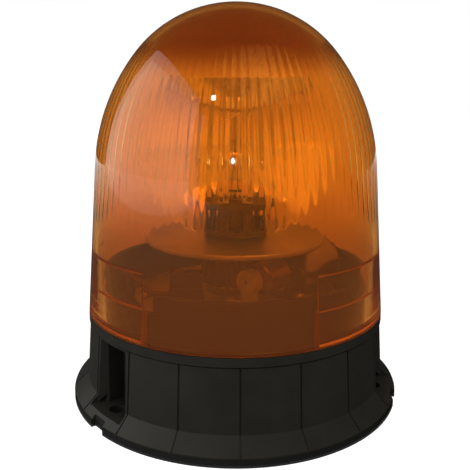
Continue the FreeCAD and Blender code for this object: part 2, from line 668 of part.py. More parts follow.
def half_dome(owner, inset):
    """Half outline of the dome: a straight draft, a shoulder arc and a crown arc on the axis.

    inset moves the whole outline inwards.  The shoulder's radius follows from the shoulder point,
    the crown's radius and the height, because the three meet without a corner.
    """
    item = sketch(owner, "XZ_Plane")
    draft = math.radians(number("dome_draft"))
    normal = Vector(math.cos(draft), math.sin(draft), 0)
    wall = number(inset)
    start = Vector(number(SHOULDER_RADIUS), number(SHOULDER_HEIGHT), 0)
    crown = number("crown_radius")
    top = number("dome_height")
    centre = Vector(0, top - crown, 0)
    across = start - centre
    shoulder = (across.dot(across) - crown ** 2) / (2 * (across.dot(normal) - crown))
    pivot = start - normal * shoulder
    towards = (centre - pivot).normalize()
    meeting = math.atan2(towards.y, towards.x)
    first = start - normal * wall
    foot = Vector(number(f"{FOOT_RADIUS} - ({inset}) / cos(dome_draft)"), number(DOME_FOOT), 0)
    up = Vector(0, 0, 1)
    crest = Vector(0, top - wall, 0)
    middle = Vector(0, foot.y, 0)
    side = item.addGeometry(Part.LineSegment(foot, first), False)
    bend = item.addGeometry(
        Part.ArcOfCircle(Part.Circle(pivot, up, shoulder - wall), draft, meeting), False)
    cap = item.addGeometry(
        Part.ArcOfCircle(Part.Circle(centre, up, crown - wall), meeting, math.pi / 2), False)
    axis = item.addGeometry(Part.LineSegment(crest, middle), False)
    floor = item.addGeometry(Part.LineSegment(middle, foot), False)
    rule = Sketcher.Constraint
    item.addConstraint(rule("Tangent", side, 2, bend, 1))
    item.addConstraint(rule("Tangent", bend, 2, cap, 1))
    item.addConstraint(rule("Coincident", cap, 2, axis, 1))
    item.addConstraint(rule("Coincident", axis, 2, floor, 1))
    item.addConstraint(rule("Coincident", floor, 2, side, 1))
    item.addConstraint(rule("PointOnObject", cap, 3, -2))
    item.addConstraint(rule("PointOnObject", cap, 2, -2))
    item.addConstraint(rule("Vertical", axis))
    item.addConstraint(rule("Horizontal", floor))
    fix(item, side, 1, f"{FOOT_RADIUS} - ({inset}) / cos(dome_draft)", DOME_FOOT)
    fix(item, side, 2, f"{SHOULDER_RADIUS} - ({inset}) * cos(dome_draft)",
        f"{SHOULDER_HEIGHT} - ({inset}) * sin(dome_draft)")
    bound = item.addConstraint(rule("Radius", cap, crown - wall))
    item.setExpression(f"Constraints[{bound}]", formula(f"crown_radius - ({inset})"))
    bound = item.addConstraint(rule("DistanceY", -1, 1, cap, 2, top - wall))
    item.setExpression(f"Constraints[{bound}]", formula(f"dome_height - ({inset})"))
    return item


def dome_lens():
    """The amber moulding, with three stepped bayonet pads inside its foot."""
    owner = body("dome_lens", "pad_azimuth - 90")
    turned(owner, half_dome(owner, "0"))
    turned(owner, half_dome(owner, "dome_wall"), "Groove")
    into_wall = f"({FOOT_RADIUS} - dome_wall / 2)"
    pad = turned(owner, polygon(owner, "XZ_Plane", [
        (PAD_REACH_RADIUS, DOME_FOOT),
        (into_wall, DOME_FOOT),
        (f"{into_wall} - ({PAD_TOP} - {SEAM_HEIGHT}) * tan(dome_draft)", PAD_TOP),
        (PAD_THIN_RADIUS, PAD_TOP),
        (PAD_THIN_RADIUS, LEDGE_HEIGHT),
        (PAD_REACH_RADIUS, LEDGE_HEIGHT),
    ]), angle="pad_angle")
    repeated(owner, pad, "recess_count")
    return owner


# ---------------------------------------------------------------- drive

WHEEL_PITCH = "(gear_module * wheel_teeth / 2)"
BLOCK_MIDDLE = "(-block_face - block_thickness / 2)"
BLOCK_SCREWS = [(BLOCK_MIDDLE, f"(-centre_distance {sign} (block_foot_length / 2 - 3.05))")
                for sign in "+-"]
BRACKET_FOOT_MIDDLE = "(-centre_distance - bracket_foot_shift)"
BRACKET_SCREWS = [("(motor_face - bracket_foot + 3.1)",
                   f"({BRACKET_FOOT_MIDDLE} {sign} (bracket_foot_width / 2 - 3.2))") for sign in "+-"]


def worm_wheel_shape():
    """Helical teeth that match the worm's lead, on a hub that carries the turntable.

    Each tooth is four straight edges at the lower face, lofted to the same edges at the upper
    face turned by the lead angle.
    """
    module = number("gear_module")
    teeth = int(number("wheel_teeth"))
    width = number("wheel_width")
    pitch = number(WHEEL_PITCH)
    tip = number(WHEEL_TIP)
    root = pitch - module - number("gear_play")
    pressure = math.radians(20)
    half_tooth = (math.pi * module - number("gear_backlash")) / 4
    lead_angle = math.atan(module / (2 * number(WORM_PITCH)))
    twist = width * math.tan(lead_angle) / pitch
    low = number(WHEEL_UNDER)

    def outline(height, turn):
        spots = []
        for index in range(teeth):
            middle = turn + 2 * math.pi * index / teeth
            for radius, side in ((root, -1), (tip, -1), (tip, 1), (root, 1)):
                half = half_tooth + (pitch - radius) * math.tan(pressure)
                angle = middle + side * half / radius
                spots.append(Vector(radius * math.cos(angle), radius * math.sin(angle), height))
        return Part.makePolygon(spots + spots[:1])

    # a tooth's middle is on the line of centres, in the plane of the worm's axis
    across = math.radians(-90)
    rim = Part.makeLoft([outline(low, across - twist / 2), outline(low + width, across + twist / 2)],
                        True, True)
    under = number(HUB_UNDER)
    table = number(TABLE_HEIGHT)
    hub = Part.makeCylinder(number("washer_radius"), low - under + 1, Vector(0, 0, under))
    neck = Part.makeCylinder(number("hub_radius"), table - low - width + 1,
                             Vector(0, 0, low + width - 1))
    wheel = rim.fuse([hub, neck]).removeSplitter()
    bore = Part.makeCylinder(number(BUSH_RADIUS), table - under + 2, Vector(0, 0, under - 1))
    holes = [bore]
    depth = number("screw_length") - number("table_thickness")
    for index in range(3):
        angle = math.radians(120 * index)
        reach = number("table_screw_radius")
        holes.append(Part.makeCylinder(
            number("screw_radius") * 0.6, depth + 1,
            Vector(reach * math.cos(angle), reach * math.sin(angle), table - depth)))
    return wheel.cut(holes)


def worm_shape():
    """One thread of trapezium section on a helix, joined to its core and two plain necks.

    Along X, with its middle over the line of centres.
    """
    module = number("gear_module")
    pitch = number(WORM_PITCH)
    length = number("worm_length")
    lead = math.pi * module
    tip = pitch + module
    root = pitch - module - number("gear_play")
    sunk = root - 0.3
    pressure = math.radians(20)
    half_thread = (math.pi * module - number("gear_backlash")) / 4
    helix = Part.makeLongHelix(lead, length, pitch, 0, False)
    spots = []
    for radius, side in ((sunk, -1), (tip, -1), (tip, 1), (sunk, 1)):
        half = half_thread + (pitch - radius) * math.tan(pressure)
        spots.append(Vector(radius, 0, side * half))
    section = Part.makePolygon(spots + spots[:1])
    thread = Part.Wire(helix).makePipeShell([section], True, True)
    core = Part.makeCylinder(root, length, Vector(0, 0, 0))
    ends = Part.makeCylinder(tip + 1, length, Vector(0, 0, 0))
    threaded = core.fuse(thread).common(ends)
    neck = number("worm_neck")
    neck_rod = Part.makeCylinder(root - 1.2, length + 2 * neck, Vector(0, 0, -neck))
    bore = Part.makeCylinder(number("shaft_radius"), length + 4 * neck, Vector(0, 0, -2 * neck))
    worm = threaded.fuse(neck_rod).cut(bore)
    # a space of the thread faces the wheel's tooth at the middle of the worm
    turns = (length / 2 - lead / 2) / lead
    worm.translate(Vector(0, 0, -length / 2))
    worm.rotate(Vector(0, 0, 0), Vector(0, 0, 1), -360 * turns)
    worm.rotate(Vector(0, 0, 0), Vector(0, 1, 0), 90)
    worm.rotate(Vector(0, 0, 0), Vector(1, 0, 0), 90)
    return worm


def put(shape, x, y, z):
    shape.translate(Vector(number(x), number(y), number(z)))
    return shape


def drive():
    """Motor, worm and its bearings, in a frame whose X axis lies along the worm's axis."""
    turn = "drive_azimuth"
    line = ("-centre_distance", WORM_HEIGHT)
    made(put(worm_shape(), "0", *line), "worm", turn)
    start = "(-block_face - block_thickness + 0.6)"
    piece(group([rod("shaft_radius", f"motor_face + 1 - {start}", start, *line, along="x")]),
          "motor_shaft", turn)

    # front bearing block: a post with a round head and a foot for two screws
    head = rod("block_radius", "block_thickness", "-block_face - block_thickness", *line, along="x")
    post = block("block_thickness - 1.2", "6", f"{WORM_HEIGHT} - {PLATE_TOP}",
                 BLOCK_MIDDLE, line[0], PLATE_TOP)
    foot = block("block_thickness + 2", "block_foot_length", "block_foot_height",
                 BLOCK_MIDDLE, line[0], PLATE_TOP)
    holes = [rod(SCREW_HOLE, "block_foot_height", x, y, PLATE_TOP) for x, y in BLOCK_SCREWS]
    bore = rod("shaft_radius + running_gap", "block_thickness + 1",
               "-block_face - block_thickness + 0.5", *line, along="x")
    eye = rod("shaft_radius - 0.4", "1", "-block_face - block_thickness - 0.2", *line, along="x")
    piece(minus(joined(head, post, foot), bore, eye, *holes), "bearing_block", turn)
    length = "(block_foot_height + plate_thickness + 1)"
    screws = [screw(x, y, f"({PLATE_TOP} + block_foot_height)", length) for x, y in BLOCK_SCREWS]
    piece(group(screws), "bearing_block_screws", turn)

    # motor bracket: upright plate with a foot under the motor
    face = "(motor_face - bracket_thickness)"
    top = f"({WORM_HEIGHT} + motor_radius - 0.5)"
    plate = block("bracket_thickness", "2 * bracket_half_width", f"{top} - {PLATE_TOP}",
                  f"{face} + bracket_thickness / 2", line[0], PLATE_TOP)
    ledge = block("bracket_foot", "bracket_foot_width", "bracket_thickness",
                  "motor_face - bracket_foot / 2", BRACKET_FOOT_MIDDLE, PLATE_TOP)
    sides = [f"{line[0]} {sign} motor_screw_offset" for sign in "+-"]
    openings = [rod(f"motor_boss_radius + hole_gap", "2 * bracket_thickness",
                    f"{face} - bracket_thickness / 2", *line, along="x")]
    openings += [rod("screw_radius * 0.8 + hole_gap", "2 * bracket_thickness",
                     f"{face} - bracket_thickness / 2", side, line[1], along="x") for side in sides]
    openings += [rod(SCREW_HOLE, "bracket_thickness", x, y, PLATE_TOP) for x, y in BRACKET_SCREWS]
    piece(minus(joined(plate, ledge), *openings), "motor_bracket", turn)
    length = "(bracket_thickness + plate_thickness + 1)"
    screws = [screw(x, y, f"({PLATE_TOP} + bracket_thickness)", length) for x, y in BRACKET_SCREWS]
    piece(group(screws), "bracket_screws", turn)
    small = []
    for side in sides:
        shank = rod("screw_radius * 0.8", "bracket_thickness + 2", face, side, line[1], along="x")
        head = rod("screw_head_radius * 0.75", "screw_head_height * 0.8",
                   f"{face} - screw_head_height * 0.8", side, line[1], along="x")
        small.append(joined(shank, head))
    piece(group(small), "motor_screws", turn)

    # motor: drawn can, bearing boss, end cap and two tags
    can = rounded(rod("motor_radius", "motor_length", "motor_face", *line, along="x"), "1.5", 2)
    boss = rod("motor_boss_radius", "motor_boss_length", "motor_face - motor_boss_length", *line, along="x")
    bore = rod("shaft_radius + running_gap", "motor_boss_length + 2",
               "motor_face - motor_boss_length - 0.5", *line, along="x")
    screw_holes = [rod("screw_radius * 0.8", "2.2", "motor_face - 0.1", side, line[1], along="x")
                   for side in sides]
    piece(minus(joined(can, boss), bore, *screw_holes), "motor_can", turn)
    back = "(motor_face + motor_length)"
    cap = joined(
        rod("motor_radius - 0.6", "cap_length", back, *line, along="x"),
        rod("motor_boss_radius", "cap_length + 1.6", back, *line, along="x"))
    piece(cap, "motor_end_cap", turn)
    tags = [block("3.6", "0.6", "tag_height", f"{back} + cap_length + 1.8",
                  f"{line[0]} {sign} motor_screw_offset", f"{line[1]} - tag_height / 2")
            for sign in "+-"]
    piece(group(tags), "motor_tags", turn)
    # suppressor across the tags
    disc = rod("capacitor_radius", "capacitor_thickness", f"{back} + cap_length + 2.4",
               line[0], f"{line[1]} + capacitor_radius + 1.6", along="x")
    legs = [rod("0.35", "motor_screw_offset - 0.3",
                f"{back} + cap_length + 3.2", f"{line[0]} {shift}", f"{line[1]} + 2.4", along="y")
            for shift in ("- motor_screw_offset + 0.3", "")]
    piece(joined(disc, *legs), "suppressor_capacitor", turn)


# ---------------------------------------------------------------- turntable and reflector

STEM_SCREW_CIRCLE = "(stem_flange_radius - screw_head_radius)"


def stem():
    """Turned post: screwed flange, shoulder, bearing length, circlip groove; bored for the leads."""
    groove = "(stem_radius - circlip_groove)"
    owner = revolved("stem", [
        ("stem_bore", PLATE_TOP),
        ("stem_flange_radius", PLATE_TOP),
        ("stem_flange_radius", f"{PLATE_TOP} + stem_flange_thickness"),
        ("stem_shoulder_radius", f"{PLATE_TOP} + stem_flange_thickness"),
        ("stem_shoulder_radius", SHOULDER_TOP),
        ("stem_radius", SHOULDER_TOP),
        ("stem_radius", CIRCLIP_UNDER),
        (groove, CIRCLIP_UNDER),
        (groove, f"{CIRCLIP_UNDER} + circlip_thickness"),
        ("stem_radius", f"{CIRCLIP_UNDER} + circlip_thickness"),
        ("stem_radius", f"{HOLDER_UNDER} + holder_floor"),
        ("stem_bore", f"{HOLDER_UNDER} + holder_floor"),
    ])
    hole = feature(owner, "Pocket", circles(owner, [
        (SCREW_HOLE, f"{STEM_SCREW_CIRCLE} * sin(20)", f"-{STEM_SCREW_CIRCLE} * cos(20)"),
    ]), Length=f"{PLATE_TOP} + stem_flange_thickness")
    hole.Reversed = True
    repeated(owner, hole, "3")
    piece(group(around("3", STEM_SCREW_CIRCLE, "20", lambda x, y: screw(
        x, y, f"({PLATE_TOP} + stem_flange_thickness)", "(stem_flange_thickness + plate_thickness + 1)"))),
        "stem_screws")


def turntable():
    """Turned disc on the wheel's hub, held by three flush screws."""
    owner = revolved("turntable", [
        (BUSH_RADIUS, TABLE_HEIGHT),
        ("table_radius - 0.8", TABLE_HEIGHT),
        ("table_radius", f"{TABLE_HEIGHT} + 0.8"),
        ("table_radius", f"{TABLE_TOP} - 0.5"),
        ("table_radius - 0.5", TABLE_TOP),
        (BUSH_RADIUS, TABLE_TOP),
    ], "view_azimuth")
    spots = [(SCREW_HOLE, f"{side}{STAND_SCREW}", "stand_screw_offset") for side in ("-", "")]
    feature(owner, "Pocket", circles(owner, spots), Length=TABLE_TOP).Reversed = True
    turn = "(drive_azimuth - view_azimuth)"
    seats = [(f"{angle} + {turn}") for angle in (0, 120, 240)]
    small = "screw_radius * 0.6"
    spots = [(small, f"table_screw_radius * cos({seat})", f"table_screw_radius * sin({seat})")
             for seat in seats]
    feature(owner, "Pocket", circles(owner, spots), Length=TABLE_TOP).Reversed = True
    made(flush_screws(), "turntable_screws", "drive_azimuth")


def flush_screws():
    """Three small headless screws that end level with the turntable's top."""
    screws = []
    shank = number("screw_radius") * 0.6
    length = number("screw_length")
    top = number(TABLE_TOP)
    for index in range(3):
        angle = math.radians(120 * index)
        spot = Vector(math.cos(angle), math.sin(angle), 0) * number("table_screw_radius")
        screws.append(Part.makeCylinder(shank, length, spot + Vector(0, 0, top - length)))
    return Part.makeCompound(screws)


STAND_SCREW = "(stand_half_width - stand_rib - 4.2)"


def circlip():
    """An open ring in the stem's groove, with an eye at each end."""
    groove = "(stem_radius - circlip_groove)"
    ring_disc = rod("circlip_radius", "circlip_thickness", z=CIRCLIP_UNDER)
    eyes = [rod("1.5", "circlip_thickness", f"{sign}2.2", "-circlip_radius + 0.4", CIRCLIP_UNDER)
            for sign in ("-", "")]
    hole = rod(groove, "circlip_thickness", z=CIRCLIP_UNDER)
    mouth = block("2.2", "2 * circlip_radius", "circlip_thickness",
                  "0", "-circlip_radius", CIRCLIP_UNDER)
    piece(minus(joined(ring_disc, *eyes), hole, mouth), "circlip", "view_azimuth")


def reflector_shape():
    """Deep paraboloid, facing -Y, with a flat top and a cut-out round the lamp holder."""
    focal = number("focal_length")
    focus = number(FOCUS_HEIGHT)
    rim = number("reflector_radius")
    wall = number("reflector_wall")

    def bowl(back, reach):
        """The space in front of a paraboloid whose vertex lies back behind the lamp."""
        spots = [Vector(reach * step / 12, back - (reach * step / 12) ** 2 / (4 * focal), 0)
                 for step in range(13)]
        line = Part.BSplineCurve()
        line.interpolate(spots)
        edges = [line.toShape(),
                 Part.makeLine(spots[-1], Vector(0, spots[-1].y, 0)),
                 Part.makeLine(Vector(0, spots[-1].y, 0), spots[0])]
        return Part.Face(Part.Wire(edges)).revolve(Vector(0, 0, 0), Vector(0, 1, 0), 360)

    front = focal - rim ** 2 / (4 * focal)
    solid = bowl(focal + wall, rim + wall)
    hollow = bowl(focal, rim + 3)
    shell = solid.cut(hollow)
    keep = Part.makeBox(2 * rim + 8, 60, number(REFLECTOR_TOP) - number(TABLE_TOP),
                        Vector(-rim - 4, front, number(TABLE_TOP) - focus))
    shell = shell.common(keep)
    shell.translate(Vector(0, 0, focus))
    clearance = Part.makeCylinder(number("lamp_clearance"), 60,
                                  Vector(0, 0, number(LAMP_CLEARANCE_TOP) - 60))
    return shell.cut(clearance), solid


def reflector_and_stand():
    shell, solid = reflector_shape()
    made(shell, "reflector", "view_azimuth")
    # two ribs and a foot behind the reflector, up against its back
    solid.translate(Vector(0, 0, number(FOCUS_HEIGHT)))
    half = number("stand_half_width")
    rib = number("stand_rib")
    back = number("stand_back")
    low = number(TABLE_TOP)
    top = number(STAND_TOP)
    profile = [Vector(0, 4, low), Vector(0, back, low), Vector(0, back, low + 5),
               Vector(0, number("focal_length") + 2, top), Vector(0, 4, top)]
    plate = Part.Face(Part.makePolygon(profile + profile[:1])).extrude(Vector(rib, 0, 0))
    left = plate.copy()
    left.translate(Vector(-half, 0, 0))
    right = plate.copy()
    right.translate(Vector(half - rib, 0, 0))
    clear = number("lamp_clearance")
    foot = Part.makeBox(2 * half, back - clear, number("stand_foot"), Vector(-half, clear, low))
    stand = foot.fuse([left, right]).cut([
        solid, Part.makeCylinder(clear, 60, Vector(0, 0, number(LAMP_CLEARANCE_TOP) - 60))])
    holes = [Part.makeCylinder(number(SCREW_HOLE), 8,
                               Vector(side * number(STAND_SCREW), number("stand_screw_offset"), low - 1))
             for side in (-1, 1)]
    stand = stand.cut(holes)
    made(stand, "reflector_stand", "view_azimuth")
    piece(group([screw(f"{side}{STAND_SCREW}", "stand_screw_offset", f"({TABLE_TOP} + stand_foot)",
                       "(stand_foot + table_thickness - 0.4)") for side in ("-", "")]),
          "reflector_screws", "view_azimuth")


# ---------------------------------------------------------------- lamp and its holder

def lamp_holder():
    """Two discs on eight posts round a tube, with the clip's knuckle at the front."""
    under = HOLDER_UNDER
    top = f"({HOLDER_TOP} - holder_lid)"
    parts = [
        rod("holder_radius", "holder_floor", z=under),
        rod("holder_radius", "holder_lid", z=top),
        rod("holder_tube_radius", f"{HOLDER_TOP} - {under}", z=under),
    ]
    parts += around("holder_post_count", "holder_radius - 1.2 * holder_post_radius", "22.5",
                    lambda x, y: rod("holder_post_radius", f"{HOLDER_TOP} - {under} - 1", x, y,
                                     f"{under} + 0.5"))
    parts.append(block("7", "3.6", f"{CLIP_HEIGHT} + 1.6 - {top}", "0", "-clip_pivot", top))
    holes = [
        rod("stem_radius", "holder_floor", z=under),
        rod("lamp_base_radius + hole_gap", f"{HOLDER_TOP} - {under} - holder_floor",
            z=f"{under} + holder_floor"),
        rod("clip_wire_radius + running_gap", "9", "-4.5", "-clip_pivot", CLIP_HEIGHT, along="x"),
    ]
    piece(minus(joined(*parts), *holes), "lamp_holder", "view_azimuth")


def lamp_clip():
    """A bent wire: the pivot through the knuckle, and an arm each side of the lamp."""
    half = number("clip_half_width")
    wire = number("clip_wire_radius")
    pivot = -number("clip_pivot")
    reach = number("clip_reach")
    height = number(CLIP_HEIGHT)
    bend = 1.6
    out = 2.2
    points = [Vector(-half - out, pivot + reach, height), Vector(-half, pivot + reach - out, height),
              Vector(-half, pivot, height), Vector(half, pivot, height),
              Vector(half, pivot + reach - out, height), Vector(half + out, pivot + reach, height)]
    return tube(points, wire, [bend * 0.5, bend, bend, bend * 0.5])


def tube(points, radius, bends):
    """A round wire along straight runs joined by tangent arcs, one bend for each inner point."""
    edges = []
    last = points[0]
    for index, bend in enumerate(bends):
        corner = points[index + 1]
        back = (points[index] - corner).normalize()
        ahead = (points[index + 2] - corner).normalize()
        half = back.getAngle(ahead) / 2
        reach = bend / math.tan(half)
        enter = corner + back * reach
        leave = corner + ahead * reach
        middle = (back + ahead).normalize()
        deep = corner + middle * (bend / math.sin(half) - bend)
        edges.append(Part.makeLine(last, enter))
        edges.append(Part.Arc(enter, deep, leave).toShape())
        last = leave
    edges.append(Part.makeLine(last, points[-1]))
    path = Part.Wire(edges)
    section = Part.Wire(Part.makeCircle(radius, points[0], points[1] - points[0]))
    return path.makePipeShell([section], True, True)


def even_bends(points):
    """The largest arcs that each corner's runs allow."""
    bends = []
    for index in range(1, len(points) - 1):
        back = points[index - 1] - points[index]
        ahead = points[index + 1] - points[index]
        turn = math.pi - back.getAngle(ahead)
        bends.append(0.45 * min(back.Length, ahead.Length) / math.tan(turn / 2))
    return bends


def lamp():
    revolved("lamp_base", [
        ("0", f"{HOLDER_TOP} - lamp_base_length"),
        ("lamp_base_radius", f"{HOLDER_TOP} - lamp_base_length"),
        ("lamp_base_radius", HOLDER_TOP),
        ("lamp_flange_radius", HOLDER_TOP),
        ("lamp_flange_radius", FLANGE_TOP),
        ("glass_radius + 0.5", FLANGE_TOP),
        ("glass_radius + 0.5", f"{FLANGE_TOP} + lamp_neck_height"),
        ("glass_radius - 0.6", f"{FLANGE_TOP} + lamp_neck_height"),
        ("glass_radius - 0.6", f"{FLANGE_TOP}"),
        ("0", FLANGE_TOP),
    ], "view_azimuth")
    # glass: a tube drawn to a round tip
    foot = f"({FLANGE_TOP} + lamp_neck_height)"
    dome = f"({HOLDER_TOP} + glass_height - glass_radius)"
    outer = joined(rod("glass_radius", f"{dome} - {foot}", z=foot), ball("glass_radius", dome))
    inner = joined(rod("glass_radius - glass_wall", f"{dome} - {foot}", z=foot),
                   ball("glass_radius - glass_wall", dome))
    piece(minus(outer, inner), "lamp_glass", "view_azimuth")
    # filament across two support wires
    level = f"({HOLDER_TOP} + filament_height)"
    supports = [rod("support_radius", f"{level} {sign} filament_length / 2 - {FLANGE_TOP}",
                    f"{side}support_offset", "0", FLANGE_TOP)
                for side, sign in (("-", "-"), ("", "+"))]
    coil = rod("filament_radius", "filament_length + 2 * support_radius", "0", "0",
               f"{level} - filament_length / 2 - support_radius")
    links = [rod("support_radius", "support_offset", start, "0",
                 f"{level} {sign} filament_length / 2", along="x")
             for start, sign in (("-support_offset", "-"), ("0", "+"))]
    piece(joined(coil, *supports, *links), "lamp_filament", "view_azimuth")
    contact = joined(
        rod("contact_radius", "1", z=f"{HOLDER_TOP} - lamp_base_length - 1"),
        rod("contact_radius * 0.5",
            f"{HOLDER_TOP} - lamp_base_length - {HOLDER_UNDER} - holder_floor - 0.6",
            z=f"{HOLDER_UNDER} + holder_floor + 0.3"))
    piece(contact, "lamp_contact", "view_azimuth")


def ball(radius, z):
    item = doc.addObject("Part::Sphere", "Ball")
    item.setExpression("Radius", formula(radius))
    place(item, "0", "0", z)
    return item


# ---------------------------------------------------------------- chassis and wiring

def chassis():
    """Sheet-steel plate on three posts, with the screws that hold it and the stem."""
    openings = around("3", "plate_radius - plate_screw_inset", "plate_screw_azimuth",
                      lambda x, y: rod(SCREW_HOLE, "plate_thickness", x, y, PLATE_UNDER))
    openings.append(rod("stem_bore", "plate_thickness", z=PLATE_UNDER))
    openings.append(rod("grommet_radius + 1", "plate_thickness",
                        "grommet_offset * sin(grommet_azimuth)", "-grommet_offset * cos(grommet_azimuth)",
                        PLATE_UNDER))
    openings += around("3", STEM_SCREW_CIRCLE, "20",
                       lambda x, y: rod(SCREW_HOLE, "plate_thickness", x, y, PLATE_UNDER))
    openings += turned_holes("drive_azimuth", BLOCK_SCREWS + BRACKET_SCREWS)
    openings.append(lead_notch())
    plate = rod("plate_radius", "plate_thickness", z=PLATE_UNDER)
    piece(minus(plate, *openings), "chassis_plate")
    piece(group(around("3", "plate_radius - plate_screw_inset", "plate_screw_azimuth",
                       lambda x, y: screw(x, y, PLATE_TOP, "screw_length"))), "chassis_screws")


def turned_holes(turn, spots):
    """Screw holes through the plate at spots given in a frame turned about the axis."""
    return [rod(SCREW_HOLE, "plate_thickness",
                f"({x}) * cos({turn}) - ({y}) * sin({turn})",
                f"({x}) * sin({turn}) + ({y}) * cos({turn})", PLATE_UNDER) for x, y in spots]


def lead_notch():
    """A notch in the plate's edge where the lamp leads pass down."""
    return rod("4", "plate_thickness", "-plate_radius * cos(view_azimuth)",
               "-plate_radius * sin(view_azimuth)", PLATE_UNDER)


def cable_grommet():
    """Rubber grommet in the deck: a waist between two lips, and a bore for the supply cable."""
    owner = revolved("cable_grommet", [
        ("grommet_bore", f"{DECK_UNDER} - grommet_lip"),
        ("grommet_radius - 1", f"{DECK_UNDER} - grommet_lip"),
        ("grommet_radius", DECK_UNDER),
        ("grommet_waist", DECK_UNDER),
        ("grommet_waist", "deck_height"),
        ("grommet_radius", "deck_height"),
        ("grommet_radius", "deck_height + grommet_lip - 0.6"),
        ("grommet_radius - 0.6", "deck_height + grommet_lip"),
        ("grommet_bore", "deck_height + grommet_lip"),
    ])
    place(owner, "grommet_offset * sin(grommet_azimuth)", "-grommet_offset * cos(grommet_azimuth)")


def terminal_block():
    """Two-way terminal block: stepped sides, and a well over each clamping screw."""
    x, y = "block_offset_x", "block_offset_y"
    tall = block("terminal_length", "(terminal_depth - 2 * terminal_step)", "terminal_height", x, y,
                 PLATE_TOP)
    steps = block("terminal_length", "terminal_depth", "(terminal_height * 0.62)", x, y, PLATE_TOP)
    sides = [f"({x} {sign} terminal_pitch / 2)" for sign in "-+"]
    wells = [rod("terminal_well_radius", "3", side, y, f"{PLATE_TOP} + terminal_height - 3")
             for side in sides]
    piece(minus(joined(tall, steps), *wells), "terminal_block", "view_azimuth")
    heads = []
    for side in sides:
        head = rod("(terminal_well_radius - 0.3)", "1.6", side, y, f"{PLATE_TOP} + terminal_height - 3")
        slot = block("2 * terminal_well_radius", "screw_slot", "1", side, y,
                     f"{PLATE_TOP} + terminal_height - 2.2")
        heads.append(minus(head, slot))
    piece(group(heads), "terminal_screws", "view_azimuth")


def lead(label, route):
    """An inside lead along a hand-laid route, in the frame that the lamp holder faces."""
    points = [Vector(*spot) for spot in route]
    made(tube(points, number("lead_radius"), even_bends(points)), label, "view_azimuth")


def by_the_drive(x, y, z):
    """A spot of the drive's frame, given in the frame that the lamp holder faces."""
    angle = math.radians(number("drive_azimuth - view_azimuth"))
    return (x * math.cos(angle) - y * math.sin(angle), x * math.sin(angle) + y * math.cos(angle), z)


def leads():
    """Lamp leads loop out past the plate, run under it and rise in the stem; motor leads lie behind."""
    left = number("block_offset_x - terminal_length / 2")
    front = number("block_offset_y")
    plate = number(PLATE_TOP)
    under = number(PLATE_UNDER) - 3
    side = number("lead_pitch") / 2
    bore = plate + 6.5
    rise = plate + 18.5
    top = number(f"{HOLDER_UNDER} + holder_floor")
    lead("lamp_lead_live", [
        (left, front - 1, plate + 6.5), (left - 9, front - 1, plate + 6.5),
        (-48, -20, plate + 13.5), (-54.5, -9, plate + 13), (-55, 0, plate + 5.5),
        (-52, 3, plate - 1.5), (-40, 2 * side + 1, under),
        (-22, 2 * side, under), (-8, 1.5, under - 0.3), (side, 1.3, under + 3.5),
        (side, 0, bore), (side, 0.2, rise), (side, 0, top)])
    lead("lamp_lead_return", [
        (left, front + 3, plate + 4.5), (left - 8, front + 3, plate + 4.5),
        (-45, -15, plate + 10), (-51.5, -7, plate + 9), (-52, -3.5, plate + 3),
        (-51, -side, plate - 3.5), (-38, -side, under),
        (-22, -side, under + 0.2), (-6.5, -side - 0.3, under - 0.6), (-side - 0.3, -1.5, under + 2.4),
        (-side, 0, bore), (-side, -0.2, rise), (-side, 0, top)])
    back = number("block_offset_y + terminal_depth / 2")
    lie = plate + number("lead_radius") + 0.1
    middle = number("block_offset_x")
    tag = number("motor_face + motor_length + cap_length + 3.6")
    shaft = number("centre_distance")
    apart = number("motor_screw_offset")
    height = number(WORM_HEIGHT)
    lead("motor_lead_live", [
        (middle - 2, back, plate + 3), (middle - 2, back + 8, plate + 3), (-26, 2, lie), (-22, 14, lie),
        (-12, 23, lie), (2, 27, lie), (14, 28, lie), (26, 28.5, plate + 2), (36, 30.5, plate + 6),
        by_the_drive(tag + 5.5, apart - shaft, height - 0.5),
        by_the_drive(tag, apart - shaft, height - 0.5)])
    lead("motor_lead_return", [
        (middle - 5, back, plate + 3), (middle - 5, back + 8, plate + 3), (-29.5, 3, lie), (-25, 16, lie),
        (-14, 26.5, lie), (0, 31.5, lie), (14, 32.5, lie), (28, 33.5, plate + 2.1), (41, 32, plate + 5.5),
        (50, 24, plate + 9), by_the_drive(tag + 4, -apart - shaft, height - 0.5),
        by_the_drive(tag, -apart - shaft, height - 0.5)])


for build in (base_housing, mounting_gasket, dome_lens, cable_grommet):
    build()

dome_seal()
chassis_posts()
chassis()
stem()
ring("thrust_washer", "stem_radius + running_gap", "washer_radius", SHOULDER_TOP, WASHER_TOP)
ring("wheel_bush", "stem_radius + running_gap", BUSH_RADIUS, HUB_UNDER, TABLE_TOP)
made(worm_wheel_shape(), "worm_wheel", "drive_azimuth")
turntable()
circlip()
drive()
reflector_and_stand()
lamp_holder()
lamp()
made(lamp_clip(), "lamp_clip", "view_azimuth")
terminal_block()
leads()


# ---------------------------------------------------------------- check and write

doc.recompute()
faults = [item.Label for item in doc.Objects if {"Invalid", "Error"} & set(item.State)]
faults += [item.Label for item in pieces if item.Shape.isNull() or not item.Shape.isValid()]
if faults:
    raise SystemExit(f"not written, faults in: {faults}")
os.makedirs("parts", exist_ok=True)
for item in pieces:
    item.Shape.exportStep(f"parts/{item.Label}.step")
    print(f"{item.Label:24s} solids {len(item.Shape.Solids):2d}  volume {item.Shape.Volume:10.1f}")
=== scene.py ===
"""Rotating beacon: an amber dome over a turning reflector and a fixed lamp, on a black base.

Metres, +Z up, origin at the centre of the underside.  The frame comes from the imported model.
"""
import json
import math

import bmesh
import bpy
import numpy as np
from mathutils import Matrix, Vector


